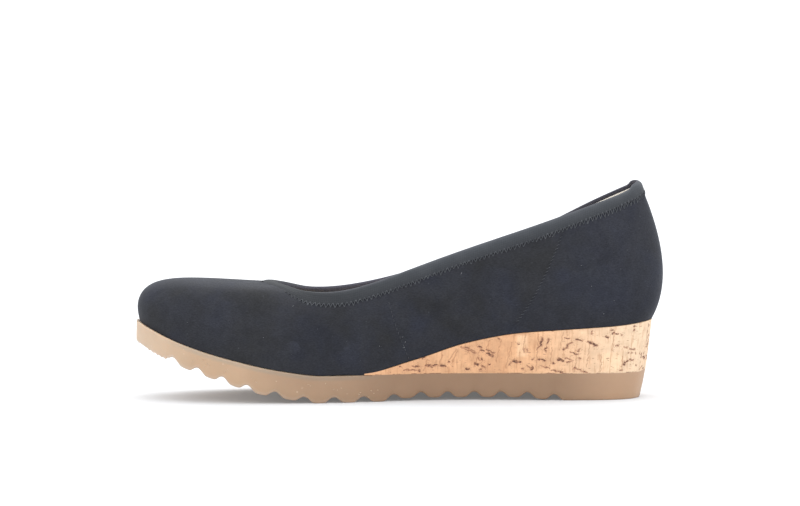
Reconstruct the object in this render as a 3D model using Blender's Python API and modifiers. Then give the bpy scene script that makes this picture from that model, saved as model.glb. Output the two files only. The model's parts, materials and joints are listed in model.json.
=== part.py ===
"""A right pump on a low cork wedge: suede upper, elastic topline, ripple rubber outsole.

The tables are in millimetres. Along runs from the back of the heel to the toe, across is
negative on the medial side and positive on the lateral side, and z rises from the floor.
In the scene the toe points to -X, the medial side faces -Y, and the origin is at the
bottom centre of the shoe.
"""
import math
from collections import namedtuple

import bpy
import numpy as np

OBJECT_NAME = "wedge_pump"
MM = 0.001

# Driving sizes, in millimetres.
WALL = 1.8                    # suede and lining together
BAND = 7.3                    # width of the elastic topline
BAND_SWELL = 0.3              # how far the elastic stands proud of the suede, inside and out
GAP = 0.3                     # space kept between pieces that meet
INSOLE_THICKNESS = 3.0
INSOLE_MARGIN = 0.5           # between the insole's edge and the lining
OUTSOLE_HEIGHT = 13.2         # top of the outsole from the heel to the ball
BALL_LOW = 165.0              # the lowest place of the last
WEDGE_TIP = 145.0             # where the cork runs out under the ball
TOE_SWING = 4.0               # how far the toe leans to the medial side
SWING_START = 150.0

# The ripples across the outsole.
RIPPLE_COUNT = 15
RIPPLE_START = 52.6           # the groove nearest the heel
RIPPLE_DEPTH = 2.7
LOBE_FLAT = 0.13              # flat part of a lobe, each side of its middle, as a share of the pitch
GROOVE_STEPS = (-0.37, -0.24, -0.12, 0.0, 0.12, 0.24, 0.37)

# How finely the surfaces are divided.
COLUMNS = 104
UPPER_ROWS = 14
PROFILE_STEPS = 64
OUTLINE_STEPS = 480
END_STATIONS = 9
END_REACH = 26.0
STATION_PITCH = 7.0
PLAIN_MARGIN = 1.0            # plain stations stop this far from the first and last ripple
NORMAL_STEP = 1.0             # distance down the wall over which its direction is read
SHARP_ANGLE = 40.0            # degrees, edges sharper than this stay crisp

# One row for each section of the last, from the heel back to the toe tip. The feather is the
# lower edge of the upper and the collar is its upper edge. Between them the wall is a Bezier
# curve that leaves the feather by flare and rise, and reaches the collar from reach and lift.
Section = namedtuple("Section", (
    "feather_along", "feather_medial", "feather_lateral",
    "collar_along", "collar_medial", "collar_lateral", "collar_z_medial", "collar_z_lateral",
    "flare", "rise", "reach", "lift"))
SECTIONS = (
    Section(3.9, 0.0, 0.0, 10.2, 0.0, 0.0, 105.8, 105.8, 11.0, 20.0, 9.2, -22.0),
    Section(10.2, 18.5, 18.5, 15.5, 10.5, 10.5, 102.2, 103.5, 9.0, 20.0, 9.0, -21.0),
    Section(36.0, 27.0, 28.5, 36.0, 21.0, 21.5, 94.5, 93.5, 7.0, 20.0, 6.0, -19.0),
    Section(65.0, 26.5, 30.0, 62.0, 25.5, 25.5, 85.2, 80.6, 4.0, 18.0, 2.0, -16.0),
    Section(100.0, 25.0, 34.0, 98.0, 28.0, 28.0, 73.2, 68.4, 4.0, 16.0, 3.0, -14.0),
    Section(130.0, 31.0, 40.0, 126.0, 28.5, 29.5, 63.1, 59.2, 3.0, 14.0, 5.0, -12.0),
    Section(160.0, 40.5, 44.5, 152.0, 27.5, 28.5, 54.5, 53.4, 3.0, 14.0, 5.0, -13.0),
    Section(190.0, 42.5, 43.5, 170.0, 21.5, 23.0, 53.1, 52.6, 2.5, 16.0, 12.0, -10.0),
    Section(220.0, 38.0, 38.0, 180.0, 13.0, 13.5, 54.2, 54.1, 2.5, 19.0, 24.0, -2.5),
    Section(245.0, 24.0, 23.0, 186.4, 6.5, 6.5, 55.9, 55.8, 2.0, 25.5, 41.0, -0.5),
    Section(256.5, 0.0, 0.0, 189.0, 0.0, 0.0, 56.7, 56.7, 3.4, 28.5, 40.0, -0.4),
)

# Height of the last's underside: heel seat, waist, ball and toe spring.
SEAT = np.array((
    # along, z
    (0.0, 39.2), (20.0, 36.6), (45.0, 34.9), (70.0, 33.0), (95.0, 28.3), (120.0, 20.4),
    (145.0, 14.3), (165.0, 13.5), (185.0, 15.9), (210.0, 21.4), (235.0, 29.0), (260.0, 39.8)))

# Height of the lobes' lowest points: flat heel, low arch, flat ball and toe spring.
TREAD = np.array((
    # along, z
    (0.0, 0.0), (48.0, 0.0), (72.0, 1.4), (122.0, 1.4), (138.0, 0.0), (169.0, 0.0), (182.0, 2.0),
    (195.5, 4.5), (208.0, 8.4), (221.0, 12.6), (233.0, 16.9), (248.0, 23.2), (260.0, 29.2)))

# Distance from one groove to the next: the ripples are widest under the ball.
RIPPLE_PITCH = np.array((
    # along, pitch
    (50.0, 13.0), (112.0, 13.0), (128.0, 14.4), (178.0, 14.1), (203.0, 12.1), (245.0, 12.1)))

# How far the outsole's edge stands out from the feather, at its top and at its base.
EDGE_TOP = 1
EDGE_BASE = 2
EDGE = np.array((
    # along, top, base
    (4.0, -3.0, -6.0), (30.0, -1.2, -2.4), (70.0, -0.6, -1.6), (150.0, 0.6, -0.6),
    (235.0, 0.6, -0.2), (258.0, 0.6, 0.8)))

# The elastic topline in section: share of the band's width, and depth from the suede's face as
# a share of the band's thickness.
BAND_SECTION = (
    (0.0, 0.10), (0.30, 0.0), (0.80, 0.0), (0.96, 0.18), (1.0, 0.5),
    (0.96, 0.82), (0.80, 1.0), (0.30, 1.0), (0.0, 0.90))

Finish = namedtuple("Finish", ("colour", "roughness"))
FINISHES = {
    "outsole": Finish((0.42, 0.28, 0.18, 1.0), 0.45),
    "wedge": Finish((0.78, 0.52, 0.29, 1.0), 0.75),
    "insole": Finish((0.80, 0.74, 0.62, 1.0), 0.70),
    "upper": Finish((0.012, 0.015, 0.032, 1.0), 0.95),
    "topline_binding": Finish((0.010, 0.011, 0.018, 1.0), 0.90),
}


def through(table, at, column=1):
    """Smooth curve through a table's rows that never overshoots them."""
    xs = table[:, 0]
    ys = table[:, column]
    slope = np.diff(ys) / np.diff(xs)
    product = slope[:-1] * slope[1:]
    total = np.where(product > 0.0, slope[:-1] + slope[1:], 1.0)
    inner = np.where(product > 0.0, 2.0 * product / total, 0.0)
    tangent = np.concatenate((slope[:1], inner, slope[-1:]))
    span = np.clip(np.searchsorted(xs, at, side="right") - 1, 0, len(xs) - 2)
    width = xs[span + 1] - xs[span]
    t = np.clip((at - xs[span]) / width, 0.0, 1.0)
    return hermite(ys[span], ys[span + 1], tangent[span] * width, tangent[span + 1] * width, t)


def hermite(start, end, start_tangent, end_tangent, t):
    """Cubic from start to end with the given tangents."""
    return (start * (1.0 + 2.0 * t) * (1.0 - t) ** 2 + start_tangent * t * (1.0 - t) ** 2
            + end * (3.0 - 2.0 * t) * t ** 2 - end_tangent * (1.0 - t) * t ** 2)


def around(values, knots, at):
    """Closed cubic spline through rows of values, with no jump in curvature."""
    count = len(values)
    step = np.diff(knots)
    before = np.roll(step, 1)
    slope = (np.roll(values, -1, axis=0) - values) / step[:, None]
    slope_before = np.roll(slope, 1, axis=0)
    system = np.zeros((count, count))
    for row in range(count):
        system[row, row - 1] += step[row]
        system[row, row] += 2.0 * (before[row] + step[row])
        system[row, (row + 1) % count] += before[row]
    known = 3.0 * (step[:, None] * slope_before + before[:, None] * slope)
    tangent = np.linalg.solve(system, known)
    span = np.clip(np.searchsorted(knots, at, side="right") - 1, 0, count - 1)
    after = (span + 1) % count
    width = step[span][:, None]
    t = (at - knots[span])[:, None] / width
    return hermite(values[span], values[after], tangent[span] * width, tangent[after] * width, t)


def swing(along):
    """Across shift that leans the forefoot to the medial side."""
    t = np.clip((along - SWING_START) / (SECTIONS[-1].feather_along - SWING_START), 0.0, 1.0)
    return -TOE_SWING * t * t * (3.0 - 2.0 * t)


def section_loop():
    """The sections as one loop: heel back, medial side, toe tip, lateral side."""
    medial = [(s.feather_along, -s.feather_medial, s.collar_along, -s.collar_medial,
               s.collar_z_medial, s.flare, s.rise, s.reach, s.lift) for s in SECTIONS]
    lateral = [(s.feather_along, s.feather_lateral, s.collar_along, s.collar_lateral,
                s.collar_z_lateral, s.flare, s.rise, s.reach, s.lift) for s in SECTIONS[-2:0:-1]]
    return np.array(medial + lateral)


def columns(count):
    """Sections read at even steps round the feather, with the outward direction in plan."""
    loop = section_loop()
    closed = np.vstack((loop, loop[:1]))
    chords = np.hypot(np.diff(closed[:, 0]), np.diff(closed[:, 1]))
    knots = np.concatenate((np.zeros(1), np.cumsum(chords)))
    at = np.linspace(0.0, knots[-1], count, endpoint=False)
    rows = around(loop, knots, at)
    rows[:, 1] += swing(rows[:, 0])
    rows[:, 3] += swing(rows[:, 2])
    ahead = np.roll(rows[:, :2], -1, axis=0) - np.roll(rows[:, :2], 1, axis=0)
    outward = np.column_stack((ahead[:, 1], -ahead[:, 0]))
    outward /= np.linalg.norm(outward, axis=1)[:, None]
    return rows, outward


def wall_profiles():
    """Points up the wall in each column, feather to collar, and the length up to each point."""
    rows, outward = columns(COLUMNS)
    feather_along, feather_across, collar_along, collar_across, collar_z = rows[:, :5].T
    flare, rise, reach, lift = rows[:, 5:].T
    feather = np.column_stack((feather_along, feather_across, through(SEAT, feather_along)))
    collar = np.column_stack((collar_along, collar_across, collar_z))
    leave = feather + np.column_stack((outward * flare[:, None], rise))
    arrive = collar + np.column_stack((outward * reach[:, None], lift))
    t = np.linspace(0.0, 1.0, PROFILE_STEPS)[None, :, None]
    points = (feather[:, None] * (1.0 - t) ** 3 + 3.0 * leave[:, None] * t * (1.0 - t) ** 2
              + 3.0 * arrive[:, None] * t ** 2 * (1.0 - t) + collar[:, None] * t ** 3)
    steps = np.linalg.norm(np.diff(points, axis=1), axis=2)
    lengths = np.concatenate((np.zeros((COLUMNS, 1)), np.cumsum(steps, axis=1)), axis=1)
    return points, lengths


def up_the_wall(points, lengths, heights):
    """A ring of points, one in each column at its own length up the wall."""
    ring = np.empty((COLUMNS, 3))
    for column in range(COLUMNS):
        for axis in range(3):
            ring[column, axis] = np.interp(heights[column], lengths[column], points[column, :, axis])
    return ring


def outward_normals(ring, below):
    """Directions out of the wall at a ring, from its neighbours and from the ring below it."""
    ahead = np.roll(ring, -1, axis=0) - np.roll(ring, 1, axis=0)
    normal = np.cross(ahead, ring - below)
    return normal / np.linalg.norm(normal, axis=1)[:, None]


def outline(column):
    """The feather's outline moved out by a column of the edge table, as two sides."""
    rows, outward = columns(OUTLINE_STEPS)
    edge = rows[:, :2] + outward * through(EDGE, rows[:, 0], column)[:, None]
    return split_sides(edge)


def inset_outline(inset):
    """The feather's outline moved in by the same distance all round, as two sides."""
    rows, outward = columns(OUTLINE_STEPS)
    return split_sides(rows[:, :2] - outward * inset)


Sides = namedtuple("Sides", ("rear", "front", "medial", "lateral"))


def split_sides(edge):
    """A closed outline cut at its rear and front points."""
    edge = np.roll(edge, -int(np.argmin(edge[:, 0])), axis=0)
    front = int(np.argmax(edge[:, 0]))
    medial = edge[:front + 1]
    lateral = np.vstack((edge[:1], edge[:front - 1:-1]))
    return Sides(edge[0, 0], edge[front, 0], medial, lateral)


def across(sides, along):
    """Medial and lateral edges of an outline at the given places."""
    medial = np.interp(along, sides.medial[:, 0], sides.medial[:, 1])
    lateral = np.interp(along, sides.lateral[:, 0], sides.lateral[:, 1])
    return medial, lateral


def end_stations():
    """Distances from a rounded end, close together near its tip."""
    return END_REACH * (np.arange(1, END_STATIONS + 1) / END_STATIONS) ** 2


def stations(sides, front=None):
    """Places along an outline, closer together at its round ends."""
    start = sides.rear + end_stations()
    if front is None:
        finish = sides.front - end_stations()[::-1]
    else:
        finish = np.array((front,))
    count = int(math.ceil((finish[0] - start[-1]) / STATION_PITCH))
    middle = np.linspace(start[-1], finish[0], count + 1)[1:-1]
    return np.concatenate((start, middle, finish))


def outsole_top(along):
    """Upper face of the outsole: level under the wedge, then against the upper."""
    against_upper = through(SEAT, along) - GAP
    return np.where(along < BALL_LOW, np.minimum(OUTSOLE_HEIGHT, against_upper), against_upper)


def ripple_centres():
    """Grooves of the outsole, stepped forward along the tread."""
    centres = [RIPPLE_START]
    while len(centres) < RIPPLE_COUNT:
        centres.append(centres[-1] + float(through(RIPPLE_PITCH, np.array(centres[-1]))))
    return np.array(centres)


def ripple_rows(centres):
    """Places along the tread that draw each groove, and how deep it is there."""
    pitches = np.gradient(centres)
    places = []
    depths = []
    reach = 0.5 - LOBE_FLAT
    for centre, pitch in zip(centres, pitches):
        for step in GROOVE_STEPS:
            places.append(centre + step * pitch)
            depths.append(RIPPLE_DEPTH * (0.5 + 0.5 * math.cos(math.pi * step / reach)))
    return np.array(places), np.array(depths)


def slab(base, along, low, top, top_along, high):
    """Rings along the shoe between a base outline and a top outline, each at its own height."""
    medial, lateral = across(base, along)
    top_medial, top_lateral = across(top, top_along)
    ring = (
        (along, medial, low), (along, 0.5 * (medial + lateral), low), (along, lateral, low),
        (top_along, top_lateral, high), (top_along, 0.5 * (top_medial + top_lateral), high),
        (top_along, top_medial, high))
    return np.stack([np.column_stack(corner) for corner in ring], axis=1)


def outsole():
    """Rubber sole with its arch, toe spring, flat heel and ripples."""
    base = outline(EDGE_BASE)
    top = outline(EDGE_TOP)
    grooves, groove_depths = ripple_rows(ripple_centres())
    plain = stations(base)
    plain = plain[(plain < grooves[0] - PLAIN_MARGIN) | (plain > grooves[-1] + PLAIN_MARGIN)]
    along = np.concatenate((plain, grooves))
    depth = np.concatenate((np.zeros(len(plain)), groove_depths))
    order = np.argsort(along)
    along = along[order]
    share = (along - base.rear) / (base.front - base.rear)
    top_along = top.rear + share * (top.front - top.rear)
    low = through(TREAD, along) + depth[order]
    return slab(base, along, low, top, top_along, outsole_top(top_along))


def wedge():
    """Cork wedge between the outsole and the upper."""
    base = outline(EDGE_TOP)
    top = inset_outline(0.0)
    along = stations(base, WEDGE_TIP)
    share = (along - base.rear) / (WEDGE_TIP - base.rear)
    top_along = top.rear + share * (WEDGE_TIP - top.rear)
    return slab(base, along, outsole_top(along) + GAP, top, top_along, through(SEAT, top_along) - GAP)


def insole():
    """Padded insole lying on the seat inside the upper."""
    sides = inset_outline(WALL + INSOLE_MARGIN)
    along = stations(sides)
    low = through(SEAT, along)
    return slab(sides, along, low, sides, along, low + INSOLE_THICKNESS)


def upper():
    """Outer face of the upper, from the feather to the seam under the elastic."""
    points, lengths = wall_profiles()
    seam = lengths[:, -1] - BAND - GAP
    rows = [up_the_wall(points, lengths, seam * row / UPPER_ROWS) for row in range(UPPER_ROWS + 1)]
    return np.stack(rows)


def topline_binding():
    """Elastic band that closes the upper's edge all round the collar."""
    points, lengths = wall_profiles()
    foot = lengths[:, -1] - BAND
    thickness = WALL + 2.0 * BAND_SWELL
    rows = []
    for share, depth in BAND_SECTION:
        height = foot + BAND * share
        ring = up_the_wall(points, lengths, height)
        normal = outward_normals(ring, up_the_wall(points, lengths, height - NORMAL_STEP))
        rows.append(ring + normal * (BAND_SWELL - depth * thickness))
    return np.stack(rows)


def skin(grid, wrap_rows=False):
    """Quads over a grid of points whose rows are closed rings, with the last row joined or free."""
    rows, count = grid.shape[:2]
    faces = []
    for row in range(rows if wrap_rows else rows - 1):
        here = row * count
        there = (row + 1) % rows * count
        for place in range(count):
            beside = (place + 1) % count
            faces.append((here + place, there + place, there + beside, here + beside))
    return faces


def end_caps(grid):
    """Faces that close the first and last ring of a grid."""
    rows, count = grid.shape[:2]
    first = tuple(range(count))
    last = tuple((rows - 1) * count + place for place in reversed(range(count)))
    return [first, last]


def add_part(name, grid, faces, centre, collection):
    """One named mesh object with its own finish, set into the shoe's frame."""
    flat = grid.reshape(-1, 3)
    place = np.column_stack((centre[0] - flat[:, 0], flat[:, 1] - centre[1], flat[:, 2] - centre[2]))
    mesh = bpy.data.meshes.new(name)
    mesh.from_pydata((place * MM).tolist(), [], faces)
    mesh.shade_smooth()
    mesh.set_sharp_from_angle(angle=math.radians(SHARP_ANGLE))
    part = bpy.data.objects.new(name, mesh)
    mesh.materials.append(finish(name))
    collection.objects.link(part)
    return part


def finish(name):
    """Principled material of a sub-part."""
    material = bpy.data.materials.new(name)
    material.use_nodes = True
    shader = material.node_tree.nodes["Principled BSDF"]
    shader.inputs["Base Color"].default_value = FINISHES[name].colour
    shader.inputs["Roughness"].default_value = FINISHES[name].roughness
    shader.inputs["Metallic"].default_value = 0.0
    return material


def add_wall(part):
    """Thickness of the upper, kept inside its outer face."""
    wall = part.modifiers.new("wall", "SOLIDIFY")
    wall.thickness = WALL * MM
    wall.offset = -1.0


def main():
    for old in list(bpy.data.objects):
        bpy.data.objects.remove(old, do_unlink=True)
    collection = bpy.data.collections.new(OBJECT_NAME)
    bpy.context.scene.collection.children.link(collection)

    sole_parts = {"outsole": outsole(), "wedge": wedge(), "insole": insole()}
    upper_grid = upper()
    band_grid = topline_binding()

    every = np.vstack([grid.reshape(-1, 3) for grid in (*sole_parts.values(), upper_grid, band_grid)])
    lowest = every.min(axis=0)
    highest = every.max(axis=0)
    centre = (0.5 * (lowest[0] + highest[0]), 0.5 * (lowest[1] + highest[1]), lowest[2])

    for name, grid in sole_parts.items():
        add_part(name, grid, skin(grid) + end_caps(grid), centre, collection)
    add_wall(add_part("upper", upper_grid, skin(upper_grid), centre, collection))
    add_part("topline_binding", band_grid, skin(band_grid, wrap_rows=True), centre, collection)


main()
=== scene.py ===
"""Looks of a right pump on a low cork wedge: napped suede, elastic topline, cork and ripple rubber.

Places are in metres in the shoe's own frame: the toe points to -X, the medial side faces -Y and
the camera, and Z rises from the floor. Tables of small details are in millimetres.
"""

import json
import math
from collections import namedtuple

import bpy
import numpy as np
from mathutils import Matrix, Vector

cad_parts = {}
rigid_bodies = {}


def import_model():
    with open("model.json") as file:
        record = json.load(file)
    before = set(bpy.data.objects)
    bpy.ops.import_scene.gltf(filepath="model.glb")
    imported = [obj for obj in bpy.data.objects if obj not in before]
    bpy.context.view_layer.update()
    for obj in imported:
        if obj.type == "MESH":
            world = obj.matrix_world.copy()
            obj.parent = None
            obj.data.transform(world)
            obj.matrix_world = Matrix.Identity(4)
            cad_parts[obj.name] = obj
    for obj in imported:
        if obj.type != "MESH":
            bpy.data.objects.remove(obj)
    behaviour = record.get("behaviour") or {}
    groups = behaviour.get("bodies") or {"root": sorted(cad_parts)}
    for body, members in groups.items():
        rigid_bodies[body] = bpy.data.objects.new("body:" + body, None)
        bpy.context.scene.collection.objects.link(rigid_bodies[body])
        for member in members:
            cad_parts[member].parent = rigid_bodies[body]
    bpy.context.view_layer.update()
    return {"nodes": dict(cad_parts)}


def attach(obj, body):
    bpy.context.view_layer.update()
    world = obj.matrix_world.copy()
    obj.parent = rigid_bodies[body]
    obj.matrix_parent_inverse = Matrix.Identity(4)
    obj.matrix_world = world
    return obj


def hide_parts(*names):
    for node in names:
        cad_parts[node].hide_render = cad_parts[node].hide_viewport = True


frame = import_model()
BODY = "root"
MM = 0.001

# The camera stands a little above the shoe with a long lens.
CAMERA_PLACE = (0.0, -2.5, 0.227)
CAMERA_TARGET = (0.0, 0.0, 0.0703)
LENS = 229.5
SENSOR = 36.0
VIEW_DEPTH = 200.0

# Modelling.
MERGE_DISTANCE = 0.001 * MM
QUAD_FOLD = math.radians(60.0)
QUAD_SHAPE = math.radians(80.0)
SMOOTH_ANGLE = 40.0

# Upper: suede outside and lining inside, parted from the CAD wall.
SUEDE_THICKNESS = 1.0 * MM
LINING_THICKNESS = 0.6 * MM
FOLD_ANGLE = math.radians(60.0)
FINE_LEVELS = 2
COARSE_LEVELS = 1
SMOOTH_ROUNDS = 3
TUCK_UP = 1.2 * MM
TUCK_IN = 0.5 * MM
IN_THE_WAIST = (0.03, -0.025, 0.045)

# The suede's lower edge drops a little before the cork, and its two lowest rings are tucked in round the
# toe. Places named for the toe's tip and corner are counted forwards from the middle of the shoe.
TOE_OF_CORK = ((-0.027, -0.020), (-0.012, -0.006))
FOOT_DROP = 0.8 * MM
TOE_TIP = (0.085, 0.116)
TOE_TUCK = (1.2 * MM, 0.3 * MM)
TOE_SLOPE = 0.5
TOE_SINK = 0.35

# Grooves of the seams, and puckers below the band.
SEAM_DEGREE = 3
SEAM_REACH = 3.0 * MM
SEAM_FREE_MIDDLE = 10.0 * MM
SEAM_DEPTH = 0.18 * MM
SEAM_WIDTH = 0.8 * MM
PUCKER_DEPTH = 0.14 * MM
PUCKER_PITCH = 7.4 * MM
PUCKER_FADE = 6.0 * MM

# Two seams on each side, as places along the shoe at a few heights, in millimetres.
SEAM_AT_BALL = ((18.0, 5.2), (26.0, 2.3), (34.0, -1.3), (41.0, -3.2), (48.0, -5.4), (54.0, -6.2))
SEAM_AT_HEEL = ((38.0, 56.5), (46.0, 62.0), (56.0, 68.0), (62.0, 70.8), (68.0, 73.2), (76.0, 77.2),
                (82.0, 79.0))

# Soft creases of the suede: ends along the shoe and in height, depth (a ridge is negative), half width.
Crease = namedtuple("Crease", ("x0", "z0", "x1", "z1", "depth", "width"))
CREASES = (
    Crease(-52.0, 47.0, -38.0, 24.0, 0.30, 4.0),
    Crease(-44.0, 46.0, -29.0, 25.0, -0.20, 4.0),
    Crease(-34.0, 44.0, -20.0, 24.0, 0.26, 4.5),
    Crease(-22.0, 44.0, -10.0, 26.0, -0.16, 4.0),
    Crease(16.0, 52.0, 38.0, 40.0, 0.22, 5.0),
    Crease(24.0, 47.0, 50.0, 40.0, -0.16, 5.0),
    Crease(-70.0, 52.0, -58.0, 34.0, 0.16, 5.0),
    Crease(84.0, 72.0, 98.0, 50.0, 0.18, 6.0),
)

# Rubbed places of the nap on the medial side, some of them painted light that pales the toe and painted
# shade that darkens the tops of the toe and heel: centre, radius and strength (below 0 where it is
# darker).
RubAndLight = namedtuple("RubAndLight", ("x", "z", "radius", "strength"))
RUBS_AND_PAINTED_LIGHT = (
    RubAndLight(9.0, 37.0, 5.0, 0.9), RubAndLight(79.5, 61.0, 4.5, 0.9), RubAndLight(86.0, 56.0, 8.0, 0.6),
    RubAndLight(-104.0, 44.0, 12.0, 0.5), RubAndLight(-91.0, 36.0, 16.0, 0.5), RubAndLight(49.0, 57.0, 13.0, 0.45),
    RubAndLight(30.0, 46.0, 8.0, 0.4), RubAndLight(104.0, 55.0, 14.0, 0.5), RubAndLight(-50.0, 28.0, 6.0, 0.4),
    RubAndLight(92.0, 74.0, 8.0, 0.4), RubAndLight(14.0, 58.0, 6.0, 0.3), RubAndLight(-24.0, 24.0, 6.0, 0.5),
    RubAndLight(-39.0, 33.0, 18.0, -0.55), RubAndLight(86.0, 64.0, 7.0, -0.3), RubAndLight(18.0, 44.0, 6.0, -0.3),
    RubAndLight(64.0, 50.0, 9.0, -0.2), RubAndLight(100.0, 70.0, 9.0, -0.3), RubAndLight(-70.0, 42.0, 16.0, -0.25),
    RubAndLight(-108.0, 56.0, 14.0, -0.3), RubAndLight(-84.0, 58.0, 12.0, -0.35), RubAndLight(115.0, 86.0, 9.0, -0.2),
)

# Elastic topline: nine rings, from the outer foot over the top to the inner foot, the lowest.
BAND_TOP_RING = 4
BAND_LAP = 0.5 * MM
BAND_LIFT = ((-0.058, -0.35 * MM), (-0.036, 0.12 * MM))
BAND_FOOT_CREASE = 0.7
BAND_HEIGHT = 6.4 * MM
BAND_TOP = 4.7 * MM
BAND_SWELL = 0.3 * MM
BAND_UPPER_PART = (0.3 * BAND_HEIGHT, 0.8 * BAND_HEIGHT)
BAND_INNER_PART = (1.1 * BAND_HEIGHT, 1.7 * BAND_HEIGHT)
TAB_RAISE = 1.2 * MM
TAB_FRONT = (0.1120, 0.1135)
TAB_BACK = (0.1142, 0.1182)

# How far the band's foot stands above the rim of the wall, along the shoe, in millimetres.
BAND_FOOT_RAISE = ((-70.0, 1.2), (-64.0, 0.2), (-56.0, -1.3), (-47.0, -0.9), (-36.0, 0.3), (-16.0, 0.9),
                   (8.0, 0.9), (29.0, 1.4), (69.0, 1.2), (100.0, 1.6), (110.0, 2.2), (120.0, 2.4))
LEAST_REACH = 0.3 * MM

# The lining reaches up over the band's inner face, almost to its top at the heel.
LINING_PROUD = 0.5 * MM
LINING_BELOW_TOP = ((0.070, 4.5 * MM), (0.092, 2.35 * MM), (0.112, 2.4 * MM))

# Threads. Stitches on a side are put on it from a place well beside the shoe, in millimetres.
THREAD_SMOOTH_ANGLE = 60.0
ZIGZAG_PITCH = 2.25 * MM
ZIGZAG_RISE = 0.7 * MM
ZIGZAG_DROP = ((0.070, 1.45 * MM), (0.096, 2.2 * MM))
ZIGZAG_RADIUS = 0.22 * MM
ZIGZAG_UNEVEN = 0.45 * MM
SEAM_RADIUS = 0.13 * MM
HOLE_RADIUS = 0.24 * MM
FIRST_HOLE = -0.042
HOLE_DEPTH = 0.3 * MM
HOLE_PROUD = 0.04 * MM
STITCH_SEED = 5
STITCH_POINTS = 5
BESIDE = 60.0
STITCH_LIFT = 0.16 * MM
STITCH_DIP = 0.10 * MM

# Outsole.
SOLE_SMOOTH_ANGLE = 50.0
SHARP_CORNER = math.radians(48.0)
SOLE_ROUND = 0.7 * MM
CORK_TIP = -0.014
SEAT_EDGE = 12.9 * MM
TOE_RIB_START = -0.1245
TOE_RIB_PITCH = 2.1 * MM
TOE_RIB_COUNT = 6
CUTS_PER_RIB = 4
TOE_RIB_DEPTH = 0.45 * MM
TOE_RIB_REACH = 4.0 * MM
UNDERSIDE = (0.25, 0.6)
TOE_CORNER = (0.1222, 0.1292)
TOE_CORNER_RAISE = 2.2 * MM

# Cork wedge. A face of its wall has less than UPRIGHT of its normal in height, and an upright edge climbs
# more than STEEP times its run.
CORK_SEAT = 13.2 * MM
CORK_HEIGHT_CUTS = 19
CORK_LENGTH_CUTS = 3
FLECK_SINK = 0.12 * MM
FLECK_FIELD = 3.0
FLECK_EDGE = (-0.1, 0.25)
UPRIGHT = 0.5
STEEP = 2.0

# Flecks curl a little, by waves along the wall and up it.
Curl = namedtuple("Curl", ("wave", "sway", "slow"))
FLECK_CURL = 0.2
CURL_ALONG = Curl(2.3, 1.3, 1.2)
CURL_UP = Curl(2.0, 1.7, 1.5)

# The charted flecks come again on the lateral side and, from some way along, on the heel's back: where
# that starts and how far they are moved, in millimetres.
FAR_SHIFT = 4.0
BACK_FROM = 76.0
BACK_SHIFT = 46.0

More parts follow.
